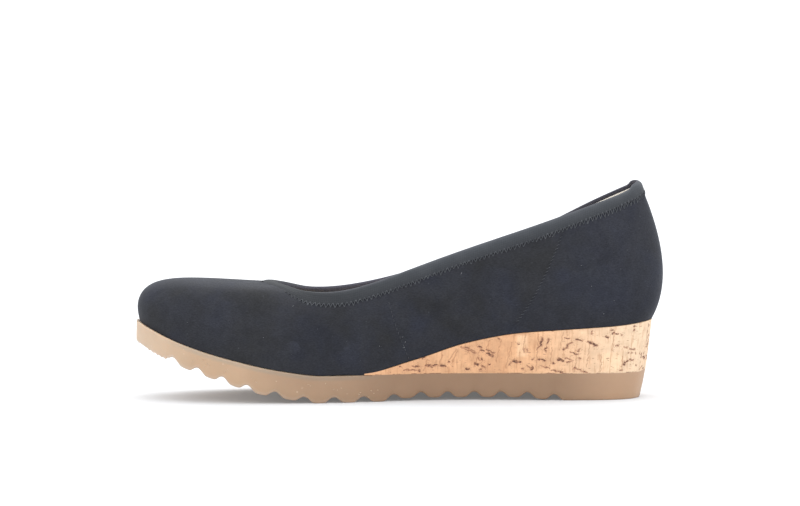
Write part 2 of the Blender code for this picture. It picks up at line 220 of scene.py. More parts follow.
# Dark flecks charted on the medial side: centre, length, width and slope in degrees.
Fleck = namedtuple("Fleck", ("x", "z", "length", "width", "slope"))
FLECKS = tuple(Fleck(*row) for row in (
    (0.3, 17.0, 1.0, 0.6, 20), (7.9, 16.8, 4.2, 0.6, 0), (5.0, 15.2, 6.5, 0.35, -2),
    (9.4, 14.7, 1.4, 0.8, -15), (11.5, 21.1, 1.7, 0.7, 20), (13.9, 17.2, 3.2, 1.0, 0),
    (15.3, 16.3, 1.2, 0.7, -70), (17.0, 17.3, 2.6, 0.6, 4), (21.0, 17.0, 3.2, 0.9, -8),
    (23.9, 18.7, 1.3, 0.8, 10), (32.8, 24.6, 7.2, 0.35, -23), (33.6, 25.3, 5.5, 0.3, -23),
    (36.4, 23.3, 1.5, 0.8, -50), (38.9, 26.0, 2.2, 0.5, -28), (40.0, 24.4, 2.2, 0.5, -25),
    (43.2, 24.3, 3.0, 0.45, -24), (45.3, 23.2, 2.0, 0.5, -24), (43.9, 22.3, 4.0, 1.2, -27),
    (38.3, 20.4, 1.6, 0.4, -60), (39.8, 20.0, 1.6, 0.4, -50), (37.2, 17.7, 2.8, 1.1, -10),
    (40.6, 16.4, 1.9, 0.8, -30), (43.7, 17.5, 1.0, 0.5, 60), (32.8, 15.4, 2.0, 1.0, -20),
    (39.1, 15.1, 1.2, 0.7, 30), (56.8, 18.9, 4.2, 1.1, -10), (55.2, 19.7, 1.2, 0.5, 50),
    (53.5, 17.9, 1.6, 0.4, 60), (48.1, 30.1, 1.3, 0.5, -30), (57.7, 27.6, 0.9, 0.7, 0),
    (60.4, 24.5, 2.0, 0.35, 80), (61.9, 24.3, 2.0, 0.35, 80), (62.6, 16.4, 2.2, 0.4, -45),
    (64.2, 15.8, 1.9, 1.2, 70), (59.6, 15.4, 0.9, 0.8, 0), (68.8, 28.8, 4.6, 1.0, 75),
    (67.5, 26.0, 1.8, 0.5, 45), (72.0, 29.0, 3.6, 0.6, 75), (71.0, 25.5, 2.0, 0.7, 50),
    (71.0, 24.4, 1.1, 0.6, -30), (64.6, 20.2, 1.0, 0.5, 0), (69.0, 19.9, 4.4, 0.6, -14),
    (70.0, 19.8, 1.6, 0.9, -20), (70.6, 16.4, 4.6, 0.35, -17), (75.8, 14.6, 4.0, 0.4, -12),
    (78.5, 14.0, 1.6, 0.7, 0), (74.5, 18.2, 1.2, 0.7, -20), (78.0, 19.9, 3.6, 1.2, -15),
    (82.0, 20.4, 3.6, 0.3, -12), (82.3, 19.0, 3.4, 0.3, 14), (81.4, 30.5, 3.0, 0.3, -5),
    (87.0, 29.6, 3.8, 0.6, -12), (83.2, 28.3, 1.8, 0.6, 20), (81.4, 26.8, 2.0, 0.7, 65),
    (80.2, 25.3, 2.8, 0.6, 22), (84.4, 23.2, 4.0, 0.4, -20), (86.2, 22.6, 1.4, 0.6, 0),
    (87.4, 25.0, 1.8, 0.5, 50), (86.6, 24.3, 1.4, 0.5, -10), (87.4, 20.6, 1.5, 0.5, -20),
    (93.6, 27.8, 5.6, 1.0, -26), (87.6, 14.9, 5.0, 0.3, -20), (84.9, 15.9, 1.4, 0.8, 60),
    (90.3, 13.9, 2.4, 0.6, -5), (93.3, 33.3, 2.0, 0.5, 88), (100.7, 31.0, 1.6, 0.8, -22),
    (102.7, 34.3, 1.5, 0.6, 20), (103.5, 32.8, 2.0, 0.6, 50), (105.0, 32.5, 1.7, 0.5, -20),
    (107.2, 31.9, 0.8, 0.5, 0), (105.2, 26.6, 1.5, 0.5, 0), (109.4, 25.8, 2.2, 0.5, -12),
    (112.6, 24.6, 3.4, 0.5, -3), (110.9, 22.8, 0.8, 0.5, 0), (112.4, 22.9, 0.8, 0.5, 0),
    (114.4, 22.6, 0.8, 0.5, 0), (116.3, 22.5, 0.7, 0.5, 0), (109.2, 17.7, 2.2, 1.4, 75),
    (112.6, 19.4, 2.6, 0.6, -4), (110.4, 18.9, 1.5, 0.8, 20), (114.9, 16.7, 1.0, 0.7, 0),
    (107.7, 14.5, 1.8, 0.6, -10), (117.1, 21.1, 2.2, 0.5, 85), (118.3, 22.1, 1.2, 0.5, 30),
    (119.3, 35.6, 1.3, 0.8, 70), (119.1, 32.3, 1.2, 0.6, 80), (119.3, 29.6, 1.2, 0.6, 70),
    (119.3, 28.1, 1.0, 0.5, 80), (119.2, 26.6, 1.0, 0.5, 80), (113.1, 36.0, 0.8, 0.6, 0),
    (112.9, 34.0, 0.7, 0.5, 0), (74.5, 34.0, 0.8, 0.6, 0), (117.5, 14.8, 3.4, 0.35, 28)))

# Hairlines of the veneer, charted in the same way but all of one width, and its palest blocks as corners.
VEIN_WIDTH = 0.15
VEINS = tuple(Fleck(x, z, length, VEIN_WIDTH, slope) for x, z, length, slope in (
    (25.2, 21.7, 8.2, 56), (26.9, 21.7, 6.6, 64), (33.8, 26.6, 7.4, 77), (42.9, 27.4, 4.8, 72),
    (48.0, 24.2, 11.3, 77), (53.0, 22.1, 13.2, 76), (66.8, 23.5, 18.0, 86), (78.5, 29.0, 9.0, 80),
    (85.5, 18.0, 8.0, 83), (91.5, 22.0, 12.0, 82), (97.8, 18.5, 8.5, 88), (108.0, 17.8, 7.0, 89),
    (12.5, 17.5, 6.0, 70), (19.5, 19.0, 7.0, 68), (37.5, 20.5, 8.0, 74), (60.5, 28.5, 8.0, 80),
    (73.5, 21.5, 9.0, 83), (103.5, 28.5, 9.0, 85)))
Block = namedtuple("Block", ("x0", "z0", "x1", "z1"))
BLOCK_EDGE = 0.8
PALE_BLOCKS = (
    Block(98.3, 14.3, 108.2, 23.3), Block(87.4, 31.9, 90.9, 34.1), Block(57.0, 21.5, 62.0, 32.0))

# The joint of cork and rubber rises at the back of the heel.
HEEL_CORNER = (0.1160, 0.1215)
HEEL_CORNER_RAISE = 1.1 * MM
HEEL_CORNER_BLEND = 6.0 * MM

# Insole.
FACES_UP = 0.5
SOCK_DISH = 0.9 * MM
SOCK_HALF_WIDTH = 40.0 * MM

# Bits of lint on the medial side of the suede: place along the shoe and up, length and slope in degrees.
Bit = namedtuple("Bit", ("x", "z", "length", "slope"))
LINTS = tuple(Bit(*row) for row in (
    (1.9, 26.3, 0.9, 20), (-9.9, 27.3, 0.25, -40), (-51.9, 46.4, 0.5, 35), (2.6, 29.0, 0.6, 70),
    (1.2, 31.5, 0.5, 10), (-66.0, 32.0, 0.25, 60), (-78.0, 27.0, 0.3, -20), (-103.0, 39.0, 0.3, 15),
    (29.8, 62.3, 1.0, 60), (74.0, 80.0, 0.3, 0), (93.0, 56.0, 0.25, 50), (104.0, 49.0, 0.3, -30),
    (88.0, 66.0, 0.3, 10), (99.0, 42.5, 0.25, 40)))
LINT_RADIUS = 0.14 * MM

# Pale crumbs in the rubber's medial edge, charted in the same way.
CRUMBS = tuple(Bit(*row) for row in (
    (-100.5, 20.0, 0.6, 10), (-98.0, 22.0, 0.5, 60), (-95.2, 21.0, 0.7, -20), (-93.3, 19.1, 0.8, -35),
    (-92.4, 18.2, 0.5, 0), (-94.8, 17.7, 0.6, 40), (-83.4, 16.7, 0.5, 0), (-84.8, 15.3, 0.7, 70),
    (-71.6, 12.5, 0.5, 20), (-69.6, 10.6, 0.6, -30), (-59.8, 11.0, 0.5, 0), (-44.2, 9.2, 1.1, -10),
    (-43.4, 8.6, 0.6, 30), (-36.0, 9.7, 0.6, 60), (-32.1, 6.8, 0.9, 25), (-30.4, 6.3, 0.7, 70),
    (-28.4, 7.3, 0.6, -20), (-25.5, 4.4, 0.7, 10), (-19.9, 4.0, 0.6, -40), (-19.2, 4.8, 0.5, 0),
    (-15.2, 2.5, 0.6, 20), (-12.7, 4.2, 0.5, 50), (-10.8, 5.8, 0.7, 0), (-14.0, 5.6, 0.5, -30)))
CRUMB_RADIUS = 0.16 * MM


# Modelling helpers.

def only(piece):
    """Makes one piece the only selected and the active one."""
    bpy.ops.object.select_all(action="DESELECT")
    piece.select_set(True)
    bpy.context.view_layer.objects.active = piece


def edit(piece, kind, chosen):
    """Enters edit mode with only the chosen faces, edges or vertices selected."""
    only(piece)
    bpy.ops.object.mode_set(mode="EDIT")
    bpy.ops.mesh.select_mode(type=kind)
    bpy.ops.mesh.select_all(action="DESELECT")
    bpy.ops.object.mode_set(mode="OBJECT")
    elements = {"FACE": piece.data.polygons, "EDGE": piece.data.edges, "VERT": piece.data.vertices}[kind]
    elements.foreach_set("select", np.asarray(chosen, bool))
    bpy.ops.object.mode_set(mode="EDIT")


def marked(count, numbers):
    """True at the given numbers and False elsewhere."""
    marks = np.zeros(count, bool)
    marks[numbers] = True
    return marks


def leave_edit():
    bpy.ops.object.mode_set(mode="OBJECT")


def apply_modifier(piece, kind, **settings):
    """Adds a modifier with its settings and applies it."""
    only(piece)
    modifier = piece.modifiers.new(kind.lower(), kind)
    for name, value in settings.items():
        setattr(modifier, name, value)
    bpy.ops.object.modifier_apply(modifier=modifier.name)


def subdivide_surface(piece, levels):
    apply_modifier(piece, "SUBSURF", levels=levels, render_levels=levels, uv_smooth="NONE")


def smooth_out(piece, levels):
    """Subdivision Surface that still passes through the piece's own vertices, applied."""
    wanted = places_of(piece)
    for _ in range(SMOOTH_ROUNDS):
        trial = piece.copy()
        trial.data = piece.data.copy()
        bpy.context.scene.collection.objects.link(trial)
        subdivide_surface(trial, 1)
        missed = wanted - places_of(trial)[:len(wanted)]
        mesh = trial.data
        bpy.data.objects.remove(trial, do_unlink=True)
        bpy.data.meshes.remove(mesh)
        move_vertices(piece, places_of(piece) + missed)
    subdivide_surface(piece, levels)


def places_of(piece):
    """Vertex places as rows of x, y and z."""
    flat = np.empty(len(piece.data.vertices) * 3)
    piece.data.vertices.foreach_get("co", flat)
    return flat.reshape(-1, 3)


def normals_of(piece):
    """Vertex normals as rows of x, y and z."""
    flat = np.empty(len(piece.data.vertices) * 3)
    piece.data.vertex_normals.foreach_get("vector", flat)
    return flat.reshape(-1, 3)


def move_vertices(piece, places):
    piece.data.vertices.foreach_set("co", np.ascontiguousarray(places, np.float32).ravel())
    piece.data.update()


def edges_of(piece):
    """Vertex numbers at the two ends of each edge."""
    flat = np.empty(len(piece.data.edges) * 2, int)
    piece.data.edges.foreach_get("vertices", flat)
    return flat.reshape(-1, 2)


def set_attribute(piece, name, values):
    """A number at each vertex, for a material to read."""
    attribute = piece.data.attributes.new(name, "FLOAT", "POINT")
    attribute.data.foreach_set("value", np.asarray(values, np.float32))


def cad_copy(node, name):
    """A merged copy of a CAD node, without its materials."""
    piece = bpy.data.objects.new(name, frame["nodes"][node].data.copy())
    bpy.context.scene.collection.objects.link(piece)
    piece.data.materials.clear()
    edit(piece, "VERT", np.ones(len(piece.data.vertices)))
    bpy.ops.mesh.remove_doubles(threshold=MERGE_DISTANCE)
    bpy.ops.mesh.customdata_custom_splitnormals_clear()
    leave_edit()
    return piece


def pair_triangles(piece):
    """Turns a wall's triangles into a regular grid of quads."""
    edit(piece, "FACE", np.ones(len(piece.data.polygons)))
    bpy.ops.mesh.tris_convert_to_quads(
        face_threshold=QUAD_FOLD, shape_threshold=QUAD_SHAPE, topology_influence=1.0)
    leave_edit()


def shade(piece, angle=SMOOTH_ANGLE):
    only(piece)
    bpy.ops.object.shade_smooth_by_angle(angle=math.radians(angle))


def crease(piece, edges, amount):
    edit(piece, "EDGE", edges)
    bpy.ops.transform.edge_crease(value=amount)
    leave_edit()


def wall_rings(mesh):
    """Vertex numbers of a wall of closed rings, one row for each ring, with columns in step."""
    beside = [[] for _ in mesh.vertices]
    faces_at = {}
    for face in mesh.polygons:
        for key in face.edge_keys:
            faces_at.setdefault(key, set()).add(face.index)
    for a, b in faces_at:
        beside[a].append(b)
        beside[b].append(a)

    def faces(a, b):
        return faces_at[(min(a, b), max(a, b))]

    def walk(a, b):
        line = [a, b]
        while True:
            here, last = line[-1], line[-2]
            ahead = [c for c in beside[here] if c != last and not faces(last, here) & faces(here, c)]
            if not ahead or ahead[0] == a:
                return line
            line.append(ahead[0])

    rim = [v for v in range(len(beside)) if len(beside[v]) == 3]
    start = rim[0] if rim else 0
    if rim:
        along_rim = [b for b in beside[start] if len(faces(start, b)) == 1]
        ring = walk(start, along_rim[0])
    else:
        ring = max((walk(start, b) for b in beside[start]), key=len)
    columns = []
    side = next(b for b in beside[start] if b not in (ring[1], ring[-1]))
    for place, vertex in enumerate(ring):
        if place:
            ends = (ring[place - 1], ring[(place + 1) % len(ring)])
            side = next(b for b in beside[vertex] if b not in ends and b in beside[side])
        columns.append(walk(vertex, side))
    return np.array(columns).T


def rows_from_top(piece):
    """Rings of an open wall, the highest first."""
    rows = wall_rings(piece.data)
    heights = places_of(piece)[rows, 2].mean(axis=1)
    return rows if heights[0] > heights[-1] else rows[::-1]


def grow_edge(piece, targets):
    """Adds a ring beyond a wall's upper edge, with a target place for each vertex of that edge."""
    rim = marked(len(piece.data.vertices), rows_from_top(piece)[0])
    edit(piece, "EDGE", rim[edges_of(piece)].all(axis=1))
    bpy.ops.mesh.extrude_edges_move(TRANSFORM_OT_translate={"value": (0.0, 0.0, 0.0)})
    leave_edit()
    rows = rows_from_top(piece)
    places = places_of(piece)
    places[rows[0]] = targets[rows[1]]
    move_vertices(piece, places)


def unit_rows(vectors):
    """Rows scaled to length 1."""
    return vectors / np.linalg.norm(vectors, axis=1)[:, None]


def lengths_along(points, closed=False):
    """Distance along a line of points, up to each of them and, on a ring, back to the first."""
    line = np.vstack((points, points[:1])) if closed else points
    steps = np.linalg.norm(np.diff(line, axis=0), axis=1)
    return np.concatenate((np.zeros(1), np.cumsum(steps)))


def point_at(reach, lengths, points):
    """Place or direction at a distance along a line of points."""
    return np.array([np.interp(reach, lengths, points[:, axis]) for axis in range(3)])


def read_off(along, table):
    """Value of a table of places along the shoe and values."""
    return np.interp(along, *np.array(table).T)


def map_wall(piece, rows, around, up):
    """UV map in metres on a wall of rings: round the ring, and across the rings."""
    ring_of = np.empty(len(piece.data.vertices), int)
    column_of = np.empty(len(piece.data.vertices), int)
    count = rows.shape[1]
    for ring, row in enumerate(rows):
        ring_of[row] = ring
        column_of[row] = np.arange(count)
    uv = piece.data.uv_layers.new(name="wall")
    for face in piece.data.polygons:
        columns = column_of[list(face.vertices)]
        wraps = columns.max() - columns.min() > count // 2
        rings = ring_of[list(face.vertices)]
        closes = rings.max() - rings.min() > len(rows) // 2
        for loop, column, ring in zip(face.loop_indices, columns, rings):
            full_turn = wraps and column < count // 2
            height = up[-1] if closes and ring == 0 else up[ring]
            uv.data[loop].uv = (around[column + count if full_turn and column == 0 else column], height)


def wall_map_at_vertices(piece):
    """The wall's UV map read at its vertices."""
    flat = np.empty(len(piece.data.loops) * 2)
    piece.data.uv_layers["wall"].uv.foreach_get("vector", flat)
    corner = np.empty(len(piece.data.loops), int)
    piece.data.loops.foreach_get("vertex_index", corner)
    values = np.empty((len(piece.data.vertices), 2))
    values[corner] = flat.reshape(-1, 2)
    return values


def slab_stations(piece):
    """Vertex numbers of a sole slab, a row for each station: its base and then its top, by side."""
    places = places_of(piece)
    upper = normals_of(piece)[:, 2] > 0.0
    rows = []
    for layer in (~upper, upper):
        chosen = np.nonzero(layer)[0]
        order = chosen[np.argsort(places[chosen, 0], kind="stable")].reshape(-1, 2)
        rows.append(np.take_along_axis(order, np.argsort(places[order, 1], axis=1), axis=1))
    return np.hstack(rows)


def square_up(piece):
    """Dissolves the diagonals of a slab's triangles, so that its faces run from station to station."""
    stations = slab_stations(piece)
    station_of = np.empty(len(piece.data.vertices), int)
    lane_of = np.empty(len(piece.data.vertices), int)
    for number, row in enumerate(stations):
        station_of[row] = number
        lane_of[row] = np.arange(row.size)
    ends = edges_of(piece)
    across = station_of[ends[:, 0]] == station_of[ends[:, 1]]
    along = lane_of[ends[:, 0]] == lane_of[ends[:, 1]]
    edit(piece, "EDGE", ~(across | along))
    bpy.ops.mesh.dissolve_edges(use_verts=False)
    leave_edit()


def corner_edges(piece, angle=SHARP_CORNER):
    """Edges where two faces meet at more than an angle."""
    edit(piece, "EDGE", np.zeros(len(piece.data.edges)))
    bpy.ops.mesh.edges_select_sharp(sharpness=angle)
    leave_edit()
    chosen = np.empty(len(piece.data.edges), bool)
    piece.data.edges.foreach_get("select", chosen)
    return chosen


def soft_step(values, low, high):
    """Rises smoothly from 0 at low to 1 at high."""
    t = np.clip((values - low) / (high - low), 0.0, 1.0)
    return t * t * (3.0 - 2.0 * t)


def plateau(values, rise, fall):
    """Rises smoothly from 0 to 1 over one range and falls back to 0 over another."""
    return soft_step(values, *rise) * (1.0 - soft_step(values, *fall))


# Pieces.

def seam_offsets(places, table):
    """Signed distance from a seam, towards the heel, on both sides of the shoe."""
    heights, alongs = np.array(table).T * MM
    bend = np.polyfit(heights, alongs, SEAM_DEGREE)
    slope = np.polyval(np.polyder(bend), places[:, 2])
    return (places[:, 0] - np.polyval(bend, places[:, 2])) / np.hypot(1.0, slope)


def crease_moves(places):
    """How far each place is pushed in by the soft creases."""
    moves = np.zeros(len(places))
    flat = places[:, (0, 2)] / MM
    for fold in CREASES:
        start = np.array((fold.x0, fold.z0))
        run = np.array((fold.x1, fold.z1)) - start
        length = np.linalg.norm(run)
        share = (flat - start) @ run / length ** 2
        aside = np.abs((flat - start) @ np.array((-run[1], run[0]))) / length
        fade = np.sin(np.pi * np.clip(share, 0.0, 1.0)) ** 2
        moves += fold.depth * MM * fade * np.exp(-(aside / fold.width) ** 2)
    return moves


def select_past_folds(piece, first):
    """Selects all faces but those that reach a first face without crossing a sharp edge."""
    edit(piece, "FACE", marked(len(piece.data.polygons), first))
    bpy.ops.mesh.select_linked(delimit={"SHARP"})
    bpy.ops.mesh.select_all(action="INVERT")


def face_centres(piece):
    return np.array([face.center for face in piece.data.polygons])


def suede_upper(band):
    """Suede outside and lining inside, parted from the CAD wall."""
    suede = cad_copy("upper", "suede_upper")
    pair_triangles(suede)
    edit(suede, "EDGE", corner_edges(suede, FOLD_ANGLE))
    bpy.ops.mesh.mark_sharp()
    leave_edit()

    outermost = np.argmin(face_centres(suede)[:, 1])
    select_past_folds(suede, outermost)
    bpy.ops.mesh.separate(type="SELECTED")
    leave_edit()
    lining = next(o for o in bpy.context.selected_objects if o != suede)
    lining.name = "lining"
    lining.data.name = "lining"
    drop_rims(lining)

    finish_suede(suede, band.outer_face)
    face_the_band(lining, band.inner_face)
    smooth_out(lining, COARSE_LEVELS)
    apply_modifier(lining, "SOLIDIFY", thickness=LINING_THICKNESS, offset=-1.0)
    shade(lining)
    return suede, lining


def drop_rims(lining):
    """Keeps the inner wall and removes the narrow rims between the two walls."""
    inner = np.argmin(np.linalg.norm(face_centres(lining) - np.array(IN_THE_WAIST), axis=1))
    select_past_folds(lining, inner)
    bpy.ops.mesh.delete(type="FACE")
    leave_edit()


def face_the_band(lining, inner_face):
    """Carries the lining up over the inner face of the band, given as its rings from the foot up."""
    edge = rows_from_top(lining)[0]
    places = places_of(lining)
    columns = [int(np.argmin(np.linalg.norm(inner_face[0] - places[v], axis=1))) for v in edge]
    lines = inner_face[:, columns]
    foot = places.copy()
    foot[edge] = lines[0]
    grow_edge(lining, foot)
    top = places_of(lining)
    for number, v in enumerate(edge):
        line = lines[:, number]
        top[v] = along_line(line, lengths_along(line)[-1] - read_off(line[0, 0], LINING_BELOW_TOP))
    rows = rows_from_top(lining)
    top[rows[0]] = top[rows[1]]
    grow_edge(lining, top)


def along_line(line, reach):
    """Place at a distance along a line of points, or straight back from its start."""
    if reach < 0.0:
        return line[0] + reach * (line[1] - line[0]) / np.linalg.norm(line[1] - line[0])
    return point_at(reach, lengths_along(line), line)


def foot_raise(line):
    """How far up its outer face the band's foot stands, for one line from the rim to the top."""
    return read_off(line[0, 0], np.array(BAND_FOOT_RAISE) * MM)


def reach_for_the_band(suede, outer_face):
    """Carries the suede up the band's outer face to its foot, and its lower edge down before the cork."""
    rows = rows_from_top(suede)
    places = places_of(suede)
    places[rows[-1], 2] -= FOOT_DROP * plateau(places[rows[-1], 0], *TOE_OF_CORK)
    inward = -normals_of(suede) * np.array((1.0, 1.0, 0.0))
    for row, tuck in zip(rows[::-1], TOE_TUCK):
        depth = tuck * soft_step(-places[row, 0], *TOE_TIP)
        moves = unit_rows(inward[row]) * depth[:, None]
        places[row] += moves
        places[row, 2] -= TOE_SLOPE * moves[:, 0] + TOE_SINK * depth
    move_vertices(suede, places)
    raised = places.copy()
    for v in rows[0]:
        line = outer_face[:, np.argmin(np.linalg.norm(outer_face[0] - places[v], axis=1))]
        raised[v] = along_line(line, max(foot_raise(line), LEAST_REACH))
    grow_edge(suede, raised)


def finish_suede(suede, outer_face):
    """Smooths the outer wall, presses in its seams and creases, and gives it thickness."""
    reach_for_the_band(suede, outer_face)
    rows = rows_from_top(suede)
    places = places_of(suede)
    tucked = places.copy()
    up = unit_rows(places[rows[0]] - places[rows[1]])
    tucked[rows[0]] += TUCK_UP * up - TUCK_IN * normals_of(suede)[rows[0]]
    grow_edge(suede, tucked)

    rows = rows_from_top(suede)
    places = places_of(suede)
    around = lengths_along(places[rows[0]], closed=True)
    down = lengths_along(places[rows].mean(axis=1))
    map_wall(suede, rows, around, down)
    smooth_out(suede, FINE_LEVELS)

    places = places_of(suede)
    near_seam = np.minimum(np.abs(seam_offsets(places, SEAM_AT_BALL)),
                           np.abs(seam_offsets(places, SEAM_AT_HEEL))) < SEAM_REACH
    near_seam &= np.abs(places[:, 1]) > SEAM_FREE_MIDDLE
    chosen = [all(near_seam[v] for v in face.vertices) for face in suede.data.polygons]
    edit(suede, "FACE", chosen)
    bpy.ops.mesh.subdivide(number_cuts=1, smoothness=0.0)
    leave_edit()

    places = places_of(suede)
    normals = normals_of(suede)
    wall_map = wall_map_at_vertices(suede)
    at_ball = seam_offsets(places, SEAM_AT_BALL)
    at_heel = seam_offsets(places, SEAM_AT_HEEL)
    groove = np.exp(-(at_ball / SEAM_WIDTH) ** 2) + np.exp(-(at_heel / SEAM_WIDTH) ** 2)
    turns = round(around[-1] / PUCKER_PITCH)
    wave = 0.5 + 0.5 * np.cos(2.0 * math.pi * turns * wall_map[:, 0] / around[-1])
    pucker = PUCKER_DEPTH * wave * np.exp(-wall_map[:, 1] / PUCKER_FADE)
    inward = SEAM_DEPTH * groove + crease_moves(places) + pucker
    move_vertices(suede, places - normals * inward[:, None])

    # Rubbed places of the nap, with painted light and painted shade among them, as a number at each
    # vertex.
    rub_and_painted_light = np.zeros(len(places))
    for spot in RUBS_AND_PAINTED_LIGHT:
        distance = np.hypot(places[:, 0] / MM - spot.x, places[:, 2] / MM - spot.z)
        mark = spot.strength * np.exp(-(distance / spot.radius) ** 2)
        rub_and_painted_light = np.where(np.abs(mark) > np.abs(rub_and_painted_light), mark, rub_and_painted_light)
    set_attribute(suede, "rub_and_painted_light", rub_and_painted_light)
    set_attribute(suede, "ball_seam", at_ball / MM)
    set_attribute(suede, "heel_seam", at_heel / MM)
    apply_modifier(suede, "SOLIDIFY", thickness=SUEDE_THICKNESS, offset=-1.0)
    shade(suede)


Band = namedtuple("Band", ("piece", "foot", "up", "inner_face", "outer_face"))


def raised_rings(outer_face):
    """Rings of the band's outer face below its top, spread out again from its raised foot."""
    rings = outer_face[:-1].copy()
    for column in range(outer_face.shape[1]):
        line = outer_face[:, column]
        reaches = np.linspace(foot_raise(line), lengths_along(line)[-1], len(line))
        for ring, reach in enumerate(reaches[:-1]):
            rings[ring, column] = along_line(line, reach)
    return rings


def elastic_topline():
    """Elastic band over the upper's edge, lapped a little over the suede and the lining."""
    band = cad_copy("topline_binding", "elastic_topline")
    pair_triangles(band)
    rows = wall_rings(band.data)
    places = places_of(band)
    lowest = int(np.argmin(places[rows, 2].mean(axis=1)))
    rows = np.roll(rows, -1 - lowest, axis=0)
    breadths = np.abs(places[rows, 1]).mean(axis=1)
    if breadths[0] < breadths[-2]:
        rows = np.roll(rows[::-1], -1, axis=0)
    outward = unit_rows(places[rows[1]] - places[rows[-2]])
    outer_face = places[rows[:BAND_TOP_RING + 1]]
    places[rows[:BAND_TOP_RING]] = raised_rings(outer_face)
    lift = read_off(places[rows[0], 0], BAND_LIFT)[:, None]
    for foot, above, out in ((rows[0], rows[1], outward), (rows[-1], rows[-2], -outward)):
        places[foot] += lift * out - BAND_LAP * unit_rows(places[above] - places[foot])
    move_vertices(band, places)

    around = lengths_along(places[rows[2]], closed=True)
    over = lengths_along(places[rows].mean(axis=1))
    closing = np.linalg.norm(places[rows[0]] - places[rows[-1]], axis=1).mean()
    map_wall(band, rows, around, np.concatenate((over, over[-1:] + closing)))
    ends = edges_of(band)
    along_foot = [marked(len(places), rows[ring])[ends].all(axis=1) for ring in (0, -1)]
    crease(band, along_foot[0] | along_foot[1], BAND_FOOT_CREASE)
    inner_face = places[rows[:BAND_TOP_RING - 1:-1]] - LINING_PROUD * outward
    up = unit_rows(places[rows[1]] - places[rows[0]])
    made = Band(band, places[rows[0]], up, inner_face, outer_face)
    smooth_out(band, FINE_LEVELS)
    shape_band(band)
    shade(band)
    return made


def shape_band(band):
    """Swells the band's outer face and raises its small tab at the back of the heel."""
    places = places_of(band)
    height = wall_map_at_vertices(band)[:, 1]
    swell = BAND_SWELL * np.sin(math.pi * np.clip(height / BAND_HEIGHT, 0.0, 1.0))
    places += normals_of(band) * swell[:, None]
    near_top = plateau(height, BAND_UPPER_PART, BAND_INNER_PART)
    places[:, 2] += TAB_RAISE * near_top * plateau(places[:, 0], TAB_FRONT, TAB_BACK)
    move_vertices(band, places)


def on_surface(piece, point):
    """Nearest place on a piece, and the direction out of it."""
    _, place, normal, _ = piece.closest_point_on_mesh(Vector(point))
    return np.array(place), np.array(normal)


def stitch(start, start_normal, end, end_normal):
    """Points of one stitch that rises out of the surface and dips back into it."""
    points = []
    for share in np.linspace(0.0, 1.0, STITCH_POINTS):
        normal = (1.0 - share) * start_normal + share * end_normal
        lift = STITCH_LIFT * 4.0 * share * (1.0 - share) - STITCH_DIP * (2.0 * share - 1.0) ** 2
        points.append((1.0 - share) * start + share * end + normal * lift)
    return points


def threads(name, stitches, radius):
    """Thread mesh of many short lines of points."""
    curve = bpy.data.curves.new(name, "CURVE")
    curve.dimensions = "3D"
    curve.bevel_depth = radius
    curve.bevel_resolution = 1
    curve.use_fill_caps = True
    for points in stitches:
        spline = curve.splines.new("POLY")
        spline.points.add(len(points) - 1)
        spline.points.foreach_set("co", np.column_stack((points, np.ones(len(points)))).ravel())
    piece = bpy.data.objects.new(name, curve)
    bpy.context.scene.collection.objects.link(piece)
    only(piece)
    bpy.ops.object.convert(target="MESH")
    piece = bpy.context.view_layer.objects.active
    shade(piece, THREAD_SMOOTH_ANGLE)
    return piece


def zigzag_stitching(band, suede):
    """Zigzag thread that holds the elastic to the suede, and dark beads of painted shade at its needle
    holes in the suede.
    """
    lengths = lengths_along(band.foot, closed=True)
    closed_foot = np.vstack((band.foot, band.foot[:1]))
    closed_up = np.vstack((band.up, band.up[:1]))
    legs = 2 * round(lengths[-1] / ZIGZAG_PITCH)
    chance = np.random.default_rng(STITCH_SEED)
    ends = []
    for number in range(legs):
        at = lengths[-1] * number / legs + chance.uniform(0.0, ZIGZAG_UNEVEN)
        place = point_at(at, lengths, closed_foot)
        rise = point_at(at, lengths, closed_up)
        if number % 2:
            drop = read_off(place[0], ZIGZAG_DROP) + chance.uniform(-1.0, 1.0) * ZIGZAG_UNEVEN
            ends.append(on_surface(suede, place - drop * rise))
        else:
            ends.append(on_surface(band.piece, place + ZIGZAG_RISE * rise))
    stitches = [stitch(*ends[number], *ends[(number + 1) % legs]) for number in range(legs)]
    # Dark beads at the needle holes, painted shade sunk into the suede.
    holes = [(place - HOLE_DEPTH * normal, place + HOLE_PROUD * normal)
             for place, normal in ends[1::2] if place[0] > FIRST_HOLE]
    thread = threads("zigzag_stitching", stitches, ZIGZAG_RADIUS)
    return thread, threads("needle_hole_shade", holes, HOLE_RADIUS)


def out_from_side(piece, point):
    """Where a line across the shoe from outside first meets a piece, and the direction out of it."""
    across = Vector((0.0, -math.copysign(1.0, point[1]), 0.0))
    found, place, normal, _ = piece.ray_cast(Vector(point), across)
    return (np.array(place), np.array(normal)) if found else None


def side_stitch(piece, middle, half):
    """A list of one stitch on the side of a piece, or of none where an end would miss the piece."""
    ends = [out_from_side(piece, (middle + way * half) * MM) for way in (-1.0, 1.0)]
    return [stitch(*ends[0], *ends[1])] if all(end is not None for end in ends) else []


SeamStitch = namedtuple("SeamStitch", ("table", "pitch", "length", "lean", "lowest", "highest"))
SEAM_STITCHES = (
    SeamStitch(SEAM_AT_BALL, 2.2, 1.2, 10.0, 21.0, 50.0),
    SeamStitch(SEAM_AT_HEEL, 2.0, 1.5, 38.0, 39.0, 80.5),
)


